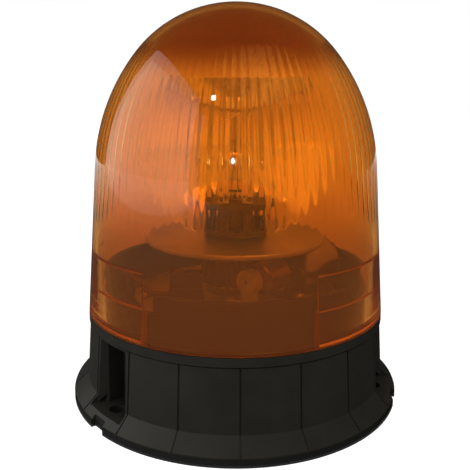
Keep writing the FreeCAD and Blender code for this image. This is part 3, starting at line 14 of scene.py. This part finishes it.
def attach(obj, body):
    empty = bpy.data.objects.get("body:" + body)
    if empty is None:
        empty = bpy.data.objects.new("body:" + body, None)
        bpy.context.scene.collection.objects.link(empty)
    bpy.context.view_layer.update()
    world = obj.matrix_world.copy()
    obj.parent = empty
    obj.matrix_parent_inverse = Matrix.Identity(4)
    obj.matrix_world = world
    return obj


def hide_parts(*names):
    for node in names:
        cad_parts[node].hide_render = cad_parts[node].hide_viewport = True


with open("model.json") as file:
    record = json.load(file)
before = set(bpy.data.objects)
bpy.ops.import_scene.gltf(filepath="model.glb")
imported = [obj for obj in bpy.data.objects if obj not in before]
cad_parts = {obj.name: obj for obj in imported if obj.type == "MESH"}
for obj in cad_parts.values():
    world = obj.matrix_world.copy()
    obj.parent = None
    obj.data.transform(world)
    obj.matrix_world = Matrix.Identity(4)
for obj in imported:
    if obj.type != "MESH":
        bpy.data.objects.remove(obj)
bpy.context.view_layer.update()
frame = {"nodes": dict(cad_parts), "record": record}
nodes = frame["nodes"]
mm = 0.001


# ---------------------------------------------------------------- camera
# The beacon is seen from the height of its lamp, close up and a little to the left of the side
# that the reflector faces, and slightly downwards.
front_turn = math.radians(-11.8)
view_distance = 284.5 * mm
view_height = 133.8 * mm
view_tilt = math.radians(7.04)
view_roll = math.radians(0.32)
lens = bpy.data.cameras.new("camera")
lens.lens = 47.35
lens.shift_x = -0.002
lens.shift_y = -0.1294
lens.clip_start = 0.01
camera = bpy.data.objects.new("camera", lens)
bpy.context.scene.collection.objects.link(camera)
camera.location = (view_distance * math.sin(front_turn), -view_distance * math.cos(front_turn),
                   view_height)
camera.rotation_euler = (Matrix.Rotation(front_turn, 3, "Z")
                         @ Matrix.Rotation(math.pi / 2 - view_tilt, 3, "X")
                         @ Matrix.Rotation(view_roll, 3, "Z")).to_euler()
bpy.context.scene.camera = camera


# ---------------------------------------------------------------- base and its gasket
# One injection moulding in black glass-filled nylon with a fine spark-eroded grain.  The panels,
# grooves, skirt and bolt recesses come out of the mould, and the collar holds the dome.
def grained(title, colour, rough, metal=0.0, grain=0.25, relief=0.02, mottle=0.12, **sockets):
    """A finish with fine bumps and a faint mottle.

    Two noises on Object coordinates: a coarse one moves the colour and the roughness by the
    mottle, and a fine one, with cells grain mm wide, lifts the surface by relief mm.
    """
    finish = bpy.data.materials.new(title)
    finish.use_nodes = True
    tree = finish.node_tree
    link = tree.links.new
    shader = tree.nodes["Principled BSDF"]
    shader.inputs["Metallic"].default_value = metal
    for socket, value in sockets.items():
        shader.inputs[socket.replace("_", " ")].default_value = value
    place = tree.nodes.new("ShaderNodeTexCoord").outputs["Object"]
    coarse = tree.nodes.new("ShaderNodeTexNoise")
    coarse.inputs["Scale"].default_value = 90
    coarse.inputs["Detail"].default_value = 3
    link(place, coarse.inputs["Vector"])
    tint = tree.nodes.new("ShaderNodeValToRGB")
    for stop, spot, part in zip(tint.color_ramp.elements, (0.3, 0.7), (1 - mottle, 1 + mottle)):
        stop.position = spot
        stop.color = (*(min(1, part * channel) for channel in colour), 1)
    link(coarse.outputs["Fac"], tint.inputs["Fac"])
    link(tint.outputs["Color"], shader.inputs["Base Color"])
    spread = tree.nodes.new("ShaderNodeMapRange")
    spread.inputs["To Min"].default_value = rough * (1 - mottle)
    spread.inputs["To Max"].default_value = min(1, rough * (1 + mottle))
    link(coarse.outputs["Fac"], spread.inputs["Value"])
    link(spread.outputs["Result"], shader.inputs["Roughness"])
    fine = tree.nodes.new("ShaderNodeTexNoise")
    fine.inputs["Scale"].default_value = 1 / (grain * mm)
    fine.inputs["Detail"].default_value = 2
    link(place, fine.inputs["Vector"])
    bump = tree.nodes.new("ShaderNodeBump")
    bump.inputs["Distance"].default_value = relief * mm
    link(fine.outputs["Fac"], bump.inputs["Height"])
    link(bump.outputs["Normal"], shader.inputs["Normal"])
    return finish


def dress(finish, *names):
    """Gives a finish to CAD nodes, in their own material slots."""
    for name in names:
        own_slots = nodes[name].material_slots
        if not own_slots:
            nodes[name].data.materials.append(finish)
        for own_slot in own_slots:
            own_slot.material = finish


# Each node's body, as the record gives it.
record = frame["record"]
riders = {name: body for body, owned in record["behaviour"]["bodies"].items() for name in owned}


def smoothed(name, finish, sharp=25):
    """A copy of a CAD node with its corners joined and its curved faces shaded smooth.

    Edges that turn by more than sharp degrees stay sharp.  The copy rides on the node's body and takes
    the finish as its one material.
    """
    mesh = nodes[name].data.copy()
    mesh.name = name + "_skin"
    found = bpy.data.objects.new(mesh.name, mesh)
    bpy.context.scene.collection.objects.link(found)
    work = bmesh.new()
    work.from_mesh(mesh)
    bmesh.ops.remove_doubles(work, verts=work.verts, dist=0.0001 * mm)
    for face in work.faces:
        face.smooth = True
    for edge in work.edges:
        edge.smooth = edge.calc_face_angle(math.pi) < math.radians(sharp)
    work.to_mesh(mesh)
    work.free()
    mesh.materials.clear()
    mesh.materials.append(finish)
    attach(found, riders[name])
    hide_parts(name)


black_moulding = grained("black_moulding", (0.0255, 0.0240, 0.0180), 0.5, grain=0.3, relief=0.006,
                         Specular_IOR_Level=0.3)
dress(black_moulding, "chassis_posts")
smoothed("base_housing", black_moulding)
black_rubber = grained("black_rubber", (0.012, 0.012, 0.0115), 0.75, grain=0.5, relief=0.03,
                       Specular_IOR_Level=0.3)
dress(black_rubber, "dome_seal", "cable_grommet")
smoothed("mounting_gasket", black_rubber)


# ---------------------------------------------------------------- dome
# Clear amber polycarbonate, moulded in one piece and polished outside.  Inside, a band of flutes
# fades out at both ends, and three stepped pads round the foot lock under the collar's hooks.
foot_radius = 67.5
foot_height = 39.0
draft = math.radians(3.3)
shoulder_height = 104.0
crown_radius = 57.0
crown_height = 176.1
dome_wall = 2.6
flute_count = 90
flute_depth = 0.32
flute_bottom = 76.0
flute_full = 116.0
flute_top = 146.0
flute_end = 157.0
flute_full_radius = 40.0
samples_per_flute = 6
columns_outside = 240
rows_outside = 125
rows_inside = 118
pad_count = 3
pad_pitch = 2 * math.pi / pad_count
pad_start = math.radians(17.6)
pad_angle = math.radians(57.2)
# Each pad's two steps: bottom, top and inside radius.
pad_steps = ((foot_height, 52.0, 61.5), (52.0, 66.0, 62.9))
edge_columns_apart = 0.0012
step_rows_apart = 0.08
# The milky share at two heights, and the clear colour at several: it deepens towards the crown.
milk_levels = (60, 88)
milk_shares = (0.27, 0.05)
milk_colour = (0.30, 0.10, 0.03)
shadow_tint = (1.0, 0.72, 0.30)
amber_levels = ((40, (0.72, 0.28, 0.05)), (80, (0.71, 0.30, 0.05)), (110, (0.80, 0.38, 0.06)),
                (144, (0.80, 0.38, 0.06)), (154, (0.42, 0.14, 0.016)), (172, (0.36, 0.11, 0.012)))


def dome_profile(inset, count):
    """Radii and heights from the foot to the crown, moved inwards by the inset.

    A straight draft, then two arcs that meet without a corner: the shoulder's radius follows
    from the shoulder point, the crown's radius and the crown's height.
    """
    lean = np.array([math.cos(draft), math.sin(draft)])
    start = np.array([foot_radius - (shoulder_height - foot_height) * math.tan(draft),
                      shoulder_height])
    centre = np.array([0.0, crown_height - crown_radius])
    across = start - centre
    shoulder = (across @ across - crown_radius ** 2) / (2 * (across @ lean - crown_radius))
    pivot = start - lean * shoulder
    meeting = math.atan2(*(centre - pivot)[::-1])
    lengths = np.array([(shoulder_height - foot_height) / math.cos(draft),
                        (meeting - draft) * (shoulder - inset),
                        (math.pi / 2 - meeting) * (crown_radius - inset)])
    ends = np.cumsum(lengths)
    along = np.linspace(0, ends[2], count)
    side = np.clip(along / ends[0], 0, 1)[:, None]
    foot = np.array([foot_radius, foot_height])
    straight = foot + side * (start - foot) - lean * inset
    angle = draft + np.clip(along - ends[0], 0, lengths[1]) / (shoulder - inset)
    bend = pivot + (shoulder - inset) * np.c_[np.cos(angle), np.sin(angle)]
    angle = meeting + np.clip(along - ends[1], 0, None) / (crown_radius - inset)
    cap = centre + (crown_radius - inset) * np.c_[np.cos(angle), np.sin(angle)]
    spots = np.where((along <= ends[0])[:, None], straight,
                     np.where((along <= ends[1])[:, None], bend, cap))
    return spots[:, 0], spots[:, 1]


def quads(rows, columns, closed=False, first=0, flip=False):
    """Corner numbers of a grid's faces, row by row; a closed grid joins its last column to its first."""
    wide = columns if closed else columns - 1
    row, column = np.meshgrid(np.arange(rows - 1), np.arange(wide), indexing="ij")
    beside = (column + 1) % columns
    corners = np.stack([row * columns + column, row * columns + beside,
                        (row + 1) * columns + beside, (row + 1) * columns + column], -1)
    corners = corners.reshape(-1, 4) + first
    return corners[:, ::-1] if flip else corners


def piece(title, vertices, faces, finish, smooth=True):
    """A mesh object from vertices in millimetres and a list of face arrays."""
    mesh = bpy.data.meshes.new(title)
    mesh.from_pydata((np.asarray(vertices) * mm).tolist(), [],
                     [face for group in faces for face in group.tolist()])
    mesh.materials.append(finish)
    mesh.polygons.foreach_set("use_smooth", np.full(len(mesh.polygons), smooth))
    mesh.update()
    found = bpy.data.objects.new(title, mesh)
    bpy.context.scene.collection.objects.link(found)
    return found


def round_grid(radius, height, angle):
    """Points on a surface of revolution whose radius and height may change with the angle."""
    return np.stack([radius * np.sin(angle), -radius * np.cos(angle),
                     np.broadcast_to(height, radius.shape)], -1)


def dome_mesh():
    """Outside: the profile turned about the axis.  Inside: the inset profile, less the flutes.

    A flute is a ridge whose height falls with the square of the distance from its middle, so it
    narrows to a point where its height fades out.  A pad is where the inside radius steps in.
    """
    outer_radius, outer_height = dome_profile(0, rows_outside)
    angle = np.linspace(0, 2 * math.pi, columns_outside, endpoint=False)
    outside = round_grid(outer_radius[:-1, None] * np.ones_like(angle), outer_height[:-1, None], angle)

    # The inside has even columns over the flutes, and two more close together at each pad's edge.
    samples = flute_count * samples_per_flute
    angle = np.arange(samples) * 2 * math.pi / samples
    pad_edges = [pad_start + index * pad_pitch + side for index in range(pad_count)
                 for side in (0, pad_angle)]
    hair = edge_columns_apart / 2
    angle = np.unique(np.concatenate([angle, *((edge - hair, edge + hair) for edge in pad_edges)])
                      % (2 * math.pi))
    # Its rows follow the profile, with two more close together at the top of each step.
    radius, height = dome_profile(dome_wall, rows_inside)
    hair = step_rows_apart / 2
    levels = [level for _, high, _ in pad_steps for level in (high - hair, high + hair)]
    levels += [foot_height]
    extra = np.interp(levels, height, radius)
    order = np.argsort(np.r_[height, levels])
    radius = np.r_[radius, extra][order]
    height = np.r_[height, levels][order]
    keep = height >= foot_height
    radius = radius[keep][:-1, None]
    height = height[keep][:-1, None]

    turn = (angle - pad_start) % pad_pitch
    inside = radius * np.ones_like(angle)
    for low, high, reach in pad_steps:
        in_pad = (turn < pad_angle) & (height >= low) & (height <= high)
        inside = np.where(in_pad, np.minimum(inside, reach), inside)

    pitch = 2 * math.pi / flute_count
    offset = (angle / pitch + 0.5) % 1 - 0.5
    rise = np.clip((height - flute_bottom) / (flute_full - flute_bottom), 0, 1)
    fade = np.clip((flute_end - height) / (flute_end - flute_top), 0, 1)
    full = flute_depth * rise * fade * np.clip(radius / flute_full_radius, 0, 1)
    bulge = flute_depth * (2 * offset * radius / foot_radius) ** 2
    inside = inside - np.clip(full - bulge, 0, None)
    inner = round_grid(inside, height, angle)

    rows, columns = outside.shape[:2]
    inner_rows, inner_columns = inner.shape[:2]
    start = rows * columns
    apex = start + inner_rows * inner_columns
    vertices = np.concatenate([outside.reshape(-1, 3), inner.reshape(-1, 3),
                               [(0, 0, crown_height), (0, 0, crown_height - dome_wall)]])
    ring = np.arange(columns)
    cap = np.c_[(rows - 1) * columns + ring, (rows - 1) * columns + (ring + 1) % columns,
                np.full(columns, apex)]
    inner_ring = np.arange(inner_columns)
    last = start + (inner_rows - 1) * inner_columns
    inner_cap = np.c_[last + (inner_ring + 1) % inner_columns, last + inner_ring,
                      np.full(inner_columns, apex + 1)]
    faces = [quads(rows, columns, True), cap,
             quads(inner_rows, inner_columns, True, start, True), inner_cap]
    return vertices, faces, columns, start, inner_columns


def foot_faces(columns, start, inner_columns):
    """The foot's flat ring: each inner point joins the outer points whose angles it passes."""
    nearest = np.round(np.arange(inner_columns) * columns / inner_columns).astype(int) % columns
    after = np.roll(nearest, -1)
    inner_ring = start + np.arange(inner_columns)
    inner_next = np.roll(inner_ring, -1)
    moved = nearest != after
    return [np.c_[inner_ring, inner_next, nearest], np.c_[inner_next, after, nearest][moved]]


def edge_faces(mesh):
    """1 for the faces that get the painted glow at the edges: the foot's ring, the pads' steps and
    sides, and the lowest strip inside.  0 for the rest.

    The ring, the steps and the sides have corners at radii more than half a millimetre apart.
    """
    step = 0.5
    pads_top = pad_steps[-1][1] + 1
    strip_top = foot_height + 1.2
    strip_radius = foot_radius - 1.5
    spots = np.empty(len(mesh.vertices) * 3)
    mesh.vertices.foreach_get("co", spots)
    spots = spots.reshape(-1, 3) / mm
    corners = np.empty(len(mesh.loops), dtype=np.int32)
    mesh.loops.foreach_get("vertex_index", corners)
    firsts = np.empty(len(mesh.polygons), dtype=np.int32)
    mesh.polygons.foreach_get("loop_start", firsts)
    reach = np.hypot(spots[:, 0], spots[:, 1])[corners]
    widest = np.maximum.reduceat(reach, firsts)
    narrowest = np.minimum.reduceat(reach, firsts)
    top = np.maximum.reduceat(spots[:, 2][corners], firsts)
    steps_in = (widest - narrowest > step) & (top < pads_top)
    strip = (top < strip_top) & (widest < strip_radius)
    return (steps_in | strip).astype(np.int32)


amber = bpy.data.materials.new("amber_polycarbonate")
amber.use_nodes = True
tree = amber.node_tree
shader = tree.nodes["Principled BSDF"]
shader.inputs["Transmission Weight"].default_value = 1
shader.inputs["Specular IOR Level"].default_value = 0.4
shader.inputs["Roughness"].default_value = 0.02
shader.inputs["IOR"].default_value = 1.5
parts = tree.nodes.new("ShaderNodeSeparateXYZ")
tree.links.new(tree.nodes.new("ShaderNodeTexCoord").outputs["Object"], parts.inputs["Vector"])
level = tree.nodes.new("ShaderNodeMapRange")
level.inputs["From Max"].default_value = crown_height * mm
tree.links.new(parts.outputs["Z"], level.inputs["Value"])
tint = tree.nodes.new("ShaderNodeValToRGB")
for _ in range(len(amber_levels) - 2):
    tint.color_ramp.elements.new(0.5)
for stop, (height, colour) in zip(tint.color_ramp.elements, amber_levels):
    stop.position = height / crown_height
    stop.color = (*colour, 1)
tree.links.new(level.outputs["Result"], tint.inputs["Fac"])
tree.links.new(tint.outputs["Color"], shader.inputs["Base Color"])
# The moulding scatters a little light, most of all near its thick foot.
milk = tree.nodes.new("ShaderNodeBsdfDiffuse")
milk.inputs["Color"].default_value = (*milk_colour, 1)
share = tree.nodes.new("ShaderNodeMapRange")
share.inputs["From Min"].default_value = milk_levels[0] * mm
share.inputs["From Max"].default_value = milk_levels[1] * mm
share.inputs["To Min"].default_value = milk_shares[0]
share.inputs["To Max"].default_value = milk_shares[1]
tree.links.new(parts.outputs["Z"], share.inputs["Value"])
hazy = tree.nodes.new("ShaderNodeMixShader")
tree.links.new(share.outputs["Result"], hazy.inputs["Fac"])
tree.links.new(shader.outputs["BSDF"], hazy.inputs[1])
tree.links.new(milk.outputs["BSDF"], hazy.inputs[2])
# Lamplight falls through the wall in a straight line, tinted.
clear = tree.nodes.new("ShaderNodeBsdfTransparent")
clear.inputs["Color"].default_value = (*shadow_tint, 1)
rays = tree.nodes.new("ShaderNodeLightPath")
pick = tree.nodes.new("ShaderNodeMixShader")
tree.links.new(rays.outputs["Is Shadow Ray"], pick.inputs["Fac"])
tree.links.new(hazy.outputs["Shader"], pick.inputs[1])
tree.links.new(clear.outputs["BSDF"], pick.inputs[2])
tree.links.new(pick.outputs["Shader"], tree.nodes["Material Output"].inputs["Surface"])

vertices, faces, columns, start, inner_columns = dome_mesh()
dome = piece("dome_skin", vertices, faces + foot_faces(columns, start, inner_columns), amber)
# The edges and the lowest strip inside are an opaque bright orange. This is a painted glow that stands
# in for the light the clear moulding gathers at its edges.
painted_edge_glow = grained("amber_edge_painted_glow", (0.95, 0.30, 0.03), 0.35, grain=1, relief=0.004)
dome.data.materials.append(painted_edge_glow)
dome.data.polygons.foreach_set("material_index", edge_faces(dome.data))
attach(dome, "dome")
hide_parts("dome_lens")


# ---------------------------------------------------------------- chassis, stem and drive
# Zinc-plated sheet steel on three moulded posts, a turned steel stem, and a small motor whose
# brass worm drives a nylon wheel.
zinc = grained("zinc_plate", (0.50, 0.50, 0.47), 0.38, 1.0, grain=0.6, relief=0.006, mottle=0.15)
dress(zinc, "chassis_plate", "motor_bracket")
smoothed("turntable", zinc)
screw_steel = grained("screw_steel", (0.52, 0.52, 0.50), 0.32, 1.0, grain=0.3, relief=0.004)
dress(screw_steel, "chassis_screws", "stem_screws", "turntable_screws", "bearing_block_screws",
      "bracket_screws", "motor_screws", "reflector_screws")
turned_steel = grained("turned_steel", (0.45, 0.45, 0.45), 0.28, 1.0, grain=0.2, relief=0.004)
dress(turned_steel, "motor_shaft", "circlip")
smoothed("stem", turned_steel)
smoothed("motor_can", grained("nickel_can", (0.55, 0.54, 0.52), 0.25, 1.0, grain=1.5, relief=0.004))
white_nylon = grained("white_nylon", (0.62, 0.58, 0.47), 0.45, grain=0.8, relief=0.01)
dress(white_nylon, "bearing_block", "thrust_washer")
dress(grained("brown_nylon", (0.075, 0.022, 0.010), 0.42, grain=0.8, relief=0.01), "worm_wheel")
dress(grained("sintered_bronze", (0.30, 0.17, 0.07), 0.45, 1.0, grain=0.15, relief=0.01), "wheel_bush")
brass = grained("brass", (0.62, 0.42, 0.15), 0.25, 1.0, grain=0.3, relief=0.003)
dress(brass, "worm", "motor_tags", "lamp_contact", "terminal_screws")
dress(black_moulding, "motor_end_cap")
dress(grained("brown_ceramic", (0.22, 0.07, 0.02), 0.35, grain=0.8, relief=0.01), "suppressor_capacitor")


# ---------------------------------------------------------------- reflector
# A deep paraboloid, moulded in plastic and metallised on its hollow side, with a flat top.  A stand
# with two ribs, screwed to the turntable, backs it up.
mirror = grained("metallised_bowl", (0.96, 0.95, 0.91), 0.06, 0.8, grain=3, relief=0.004, mottle=0.03)
smoothed("reflector", mirror)
dress(grained("grey_moulding", (0.10, 0.10, 0.10), 0.5, grain=0.5, relief=0.01), "reflector_stand")


# ---------------------------------------------------------------- lamp, holder and clip
# A single-filament halogen lamp.  Its flange sits on a dark moulded holder on top of the stem, and
# a bent spring wire holds it down.
dark_holder = grained("dark_holder", (0.035, 0.025, 0.018), 0.45, grain=0.6, relief=0.01)
dress(dark_holder, "terminal_block")
smoothed("lamp_holder", dark_holder)
smoothed("lamp_base", grained("lamp_metal", (0.7, 0.7, 0.7), 0.2, 1.0, grain=0.6, relief=0.003))
dress(grained("tungsten", (0.25, 0.25, 0.26), 0.3, 1.0, grain=0.3, relief=0.003), "lamp_filament")
smoothed("lamp_clip", grained("spring_wire", (0.4, 0.4, 0.4), 0.3, 1.0, grain=0.3, relief=0.003))
lamp_glass = grained("lamp_glass", (0.98, 0.98, 0.98), 0.02, grain=3, relief=0.003, mottle=0.01,
                     Transmission_Weight=1.0, IOR=1.47)
smoothed("lamp_glass", lamp_glass)


# ---------------------------------------------------------------- leads
# Thin wires in PVC sleeves, red for live and black for return.  The lamp's pair runs under the
# plate and up the hollow stem, and the motor's pair lies across the plate.
red_sleeve = grained("red_sleeve", (0.09, 0.012, 0.008), 0.4, grain=0.8, relief=0.01)
smoothed("lamp_lead_live", red_sleeve)
smoothed("motor_lead_live", red_sleeve)
black_sleeve = grained("black_sleeve", (0.015, 0.015, 0.015), 0.4, grain=0.8, relief=0.01)
smoothed("lamp_lead_return", black_sleeve)
smoothed("motor_lead_return", black_sleeve)


# ---------------------------------------------------------------- floor, room and lamps
# A pale floor in a room that shows white.  A large soft panel stands at the left, one hangs high in
# front, a small lamp gives the highlight and a narrow spot reaches into the bowl.  Dark boards round
# about keep the polished dome from mirroring white all over.
def lamp_panel(title, width, depth, power, spot, aim=(0, 0, 0.09)):
    """A flat soft lamp that faces the aim point."""
    light = bpy.data.lights.new(title, "AREA")
    light.shape = "RECTANGLE"
    light.size = width
    light.size_y = depth
    light.energy = power
    found = bpy.data.objects.new(title, light)
    bpy.context.scene.collection.objects.link(found)
    found.location = spot
    away = np.array(spot) - np.array(aim)
    found.rotation_euler = (math.atan2(math.hypot(*away[:2]), away[2]), 0,
                            math.atan2(away[0], -away[1]))
    found.visible_camera = False
    return found


lamp_panel("left_panel", 1.9, 1.1, 3.9, (-0.95, -0.22, 0.50), (0, -0.22, 0.50))
lamp_panel("top_panel", 0.9, 0.9, 8, (0.35, -0.75, 1.35)).visible_glossy = False
lamp_panel("small_lamp", 0.05, 0.05, 0.6, (-0.43, -0.64, 0.84))

narrow = bpy.data.lights.new("bowl_spot", "SPOT")
narrow.energy = 42
narrow.spot_size = math.radians(5.6)
narrow.spot_blend = 0.6
narrow.shadow_soft_size = 0.03
bowl_spot = bpy.data.objects.new("bowl_spot", narrow)
bpy.context.scene.collection.objects.link(bowl_spot)
bowl_spot.location = (-0.30, -1.20, 0.32)
bowl_middle = Vector((0.005, -0.01, 0.122))
bowl_spot.rotation_euler = (bowl_spot.location - bowl_middle).to_track_quat("Z", "Y").to_euler()
bowl_spot.visible_glossy = False


def flag(title, corners, finish):
    """A dark board that only glossy rays meet, as used round shiny things in a studio."""
    board = piece(title, np.array(corners) / mm, [np.array([[0, 1, 2, 3]])], finish, False)
    for kind in ("camera", "diffuse", "transmission", "volume_scatter", "shadow"):
        setattr(board, "visible_" + kind, False)


dark_board = grained("dark_board", (0.05, 0.05, 0.05), 0.9, grain=20, relief=0)
# The floor's board fades out towards the back and the left.  Each fade is an axis, the place where
# the board is gone and the place where it is whole, in metres.
board_fades = (("Y", 1.9, 0.1), ("X", -1.9, -0.2))
soft_board = grained("soft_board", (0.05, 0.05, 0.05), 0.9, grain=20, relief=0)
tree = soft_board.node_tree
place = tree.nodes.new("ShaderNodeTexCoord")
axes = tree.nodes.new("ShaderNodeSeparateXYZ")
tree.links.new(place.outputs["Object"], axes.inputs["Vector"])
cover = tree.nodes.new("ShaderNodeMath")
cover.operation = "MULTIPLY"
for socket, (axis, gone_at, whole_at) in enumerate(board_fades):
    fade = tree.nodes.new("ShaderNodeMapRange")
    fade.interpolation_type = "SMOOTHSTEP"
    fade.inputs["From Min"].default_value = gone_at
    fade.inputs["From Max"].default_value = whole_at
    tree.links.new(axes.outputs[axis], fade.inputs["Value"])
    tree.links.new(fade.outputs["Result"], cover.inputs[socket])
gone = tree.nodes.new("ShaderNodeBsdfTransparent")
blend = tree.nodes.new("ShaderNodeMixShader")
tree.links.new(cover.outputs["Value"], blend.inputs["Fac"])
tree.links.new(gone.outputs["BSDF"], blend.inputs[1])
tree.links.new(tree.nodes["Principled BSDF"].outputs["BSDF"], blend.inputs[2])
tree.links.new(blend.outputs["Shader"], tree.nodes["Material Output"].inputs["Surface"])

# The boards' limits, in metres.
left = -1.6
right = 1.5
near = -1.5
far = 1.6
low = 0
high = 2.0
above_floor = 0.001
flag("front_flag", [(left, near, low), (right, near, low), (right, near, high), (left, near, high)],
     dark_board)
flag("right_flag", [(right, near, low), (right, far, low), (right, far, high), (right, near, high)],
     dark_board)
flag("back_flag", [(left, far, low), (right, far, low), (right, far, high), (left, far, high)],
     dark_board)
flag("top_flag", [(left, near, high), (right, near, high), (right, far, high), (left, far, high)],
     dark_board)
flag("floor_flag", [(left, near, above_floor), (right, near, above_floor), (right, far, above_floor),
                    (left, far, above_floor)], soft_board)


def seen_as_white(tree):
    """1 for the rays that show the background: camera, glossy and transmission rays."""
    rays = tree.nodes.new("ShaderNodeLightPath")
    total = rays.outputs["Is Camera Ray"]
    for kind in ("Is Glossy Ray", "Is Transmission Ray"):
        both = tree.nodes.new("ShaderNodeMath")
        both.operation = "MAXIMUM"
        tree.links.new(total, both.inputs[0])
        tree.links.new(rays.outputs[kind], both.inputs[1])
        total = both.outputs["Value"]
    return total


pale = bpy.data.materials.new("pale_floor")
pale.use_nodes = True
tree = pale.node_tree
shader = tree.nodes["Principled BSDF"]
shader.inputs["Base Color"].default_value = (0.85, 0.85, 0.85, 1)
shader.inputs["Roughness"].default_value = 0.7
shader.inputs["Emission Color"].default_value = (1, 1, 1, 1)
glow = tree.nodes.new("ShaderNodeMath")
glow.operation = "MULTIPLY"
glow.inputs[1].default_value = 0.85
tree.links.new(seen_as_white(tree), glow.inputs[0])
tree.links.new(glow.outputs["Value"], shader.inputs["Emission Strength"])
side = 3000
floor_height = -0.05
floor = piece("floor", [(-side, -side, floor_height), (side, -side, floor_height),
                        (side, side, floor_height), (-side, side, floor_height)],
              [np.array([[0, 1, 2, 3]])], pale, smooth=False)

room = bpy.data.worlds.new("room")
room.use_nodes = True
bpy.context.scene.world = room
tree = room.node_tree
grey = tree.nodes["Background"]
grey.inputs["Color"].default_value = (0.5, 0.5, 0.5, 1)
grey.inputs["Strength"].default_value = 0.5
white = tree.nodes.new("ShaderNodeBackground")
white.inputs["Color"].default_value = (1, 1, 1, 1)
pick = tree.nodes.new("ShaderNodeMixShader")
tree.links.new(seen_as_white(tree), pick.inputs["Fac"])
tree.links.new(grey.outputs["Background"], pick.inputs[1])
tree.links.new(white.outputs["Background"], pick.inputs[2])
tree.links.new(pick.outputs["Shader"], tree.nodes["World Output"].inputs["Surface"])
bpy.context.scene.view_settings.view_transform = "Standard"
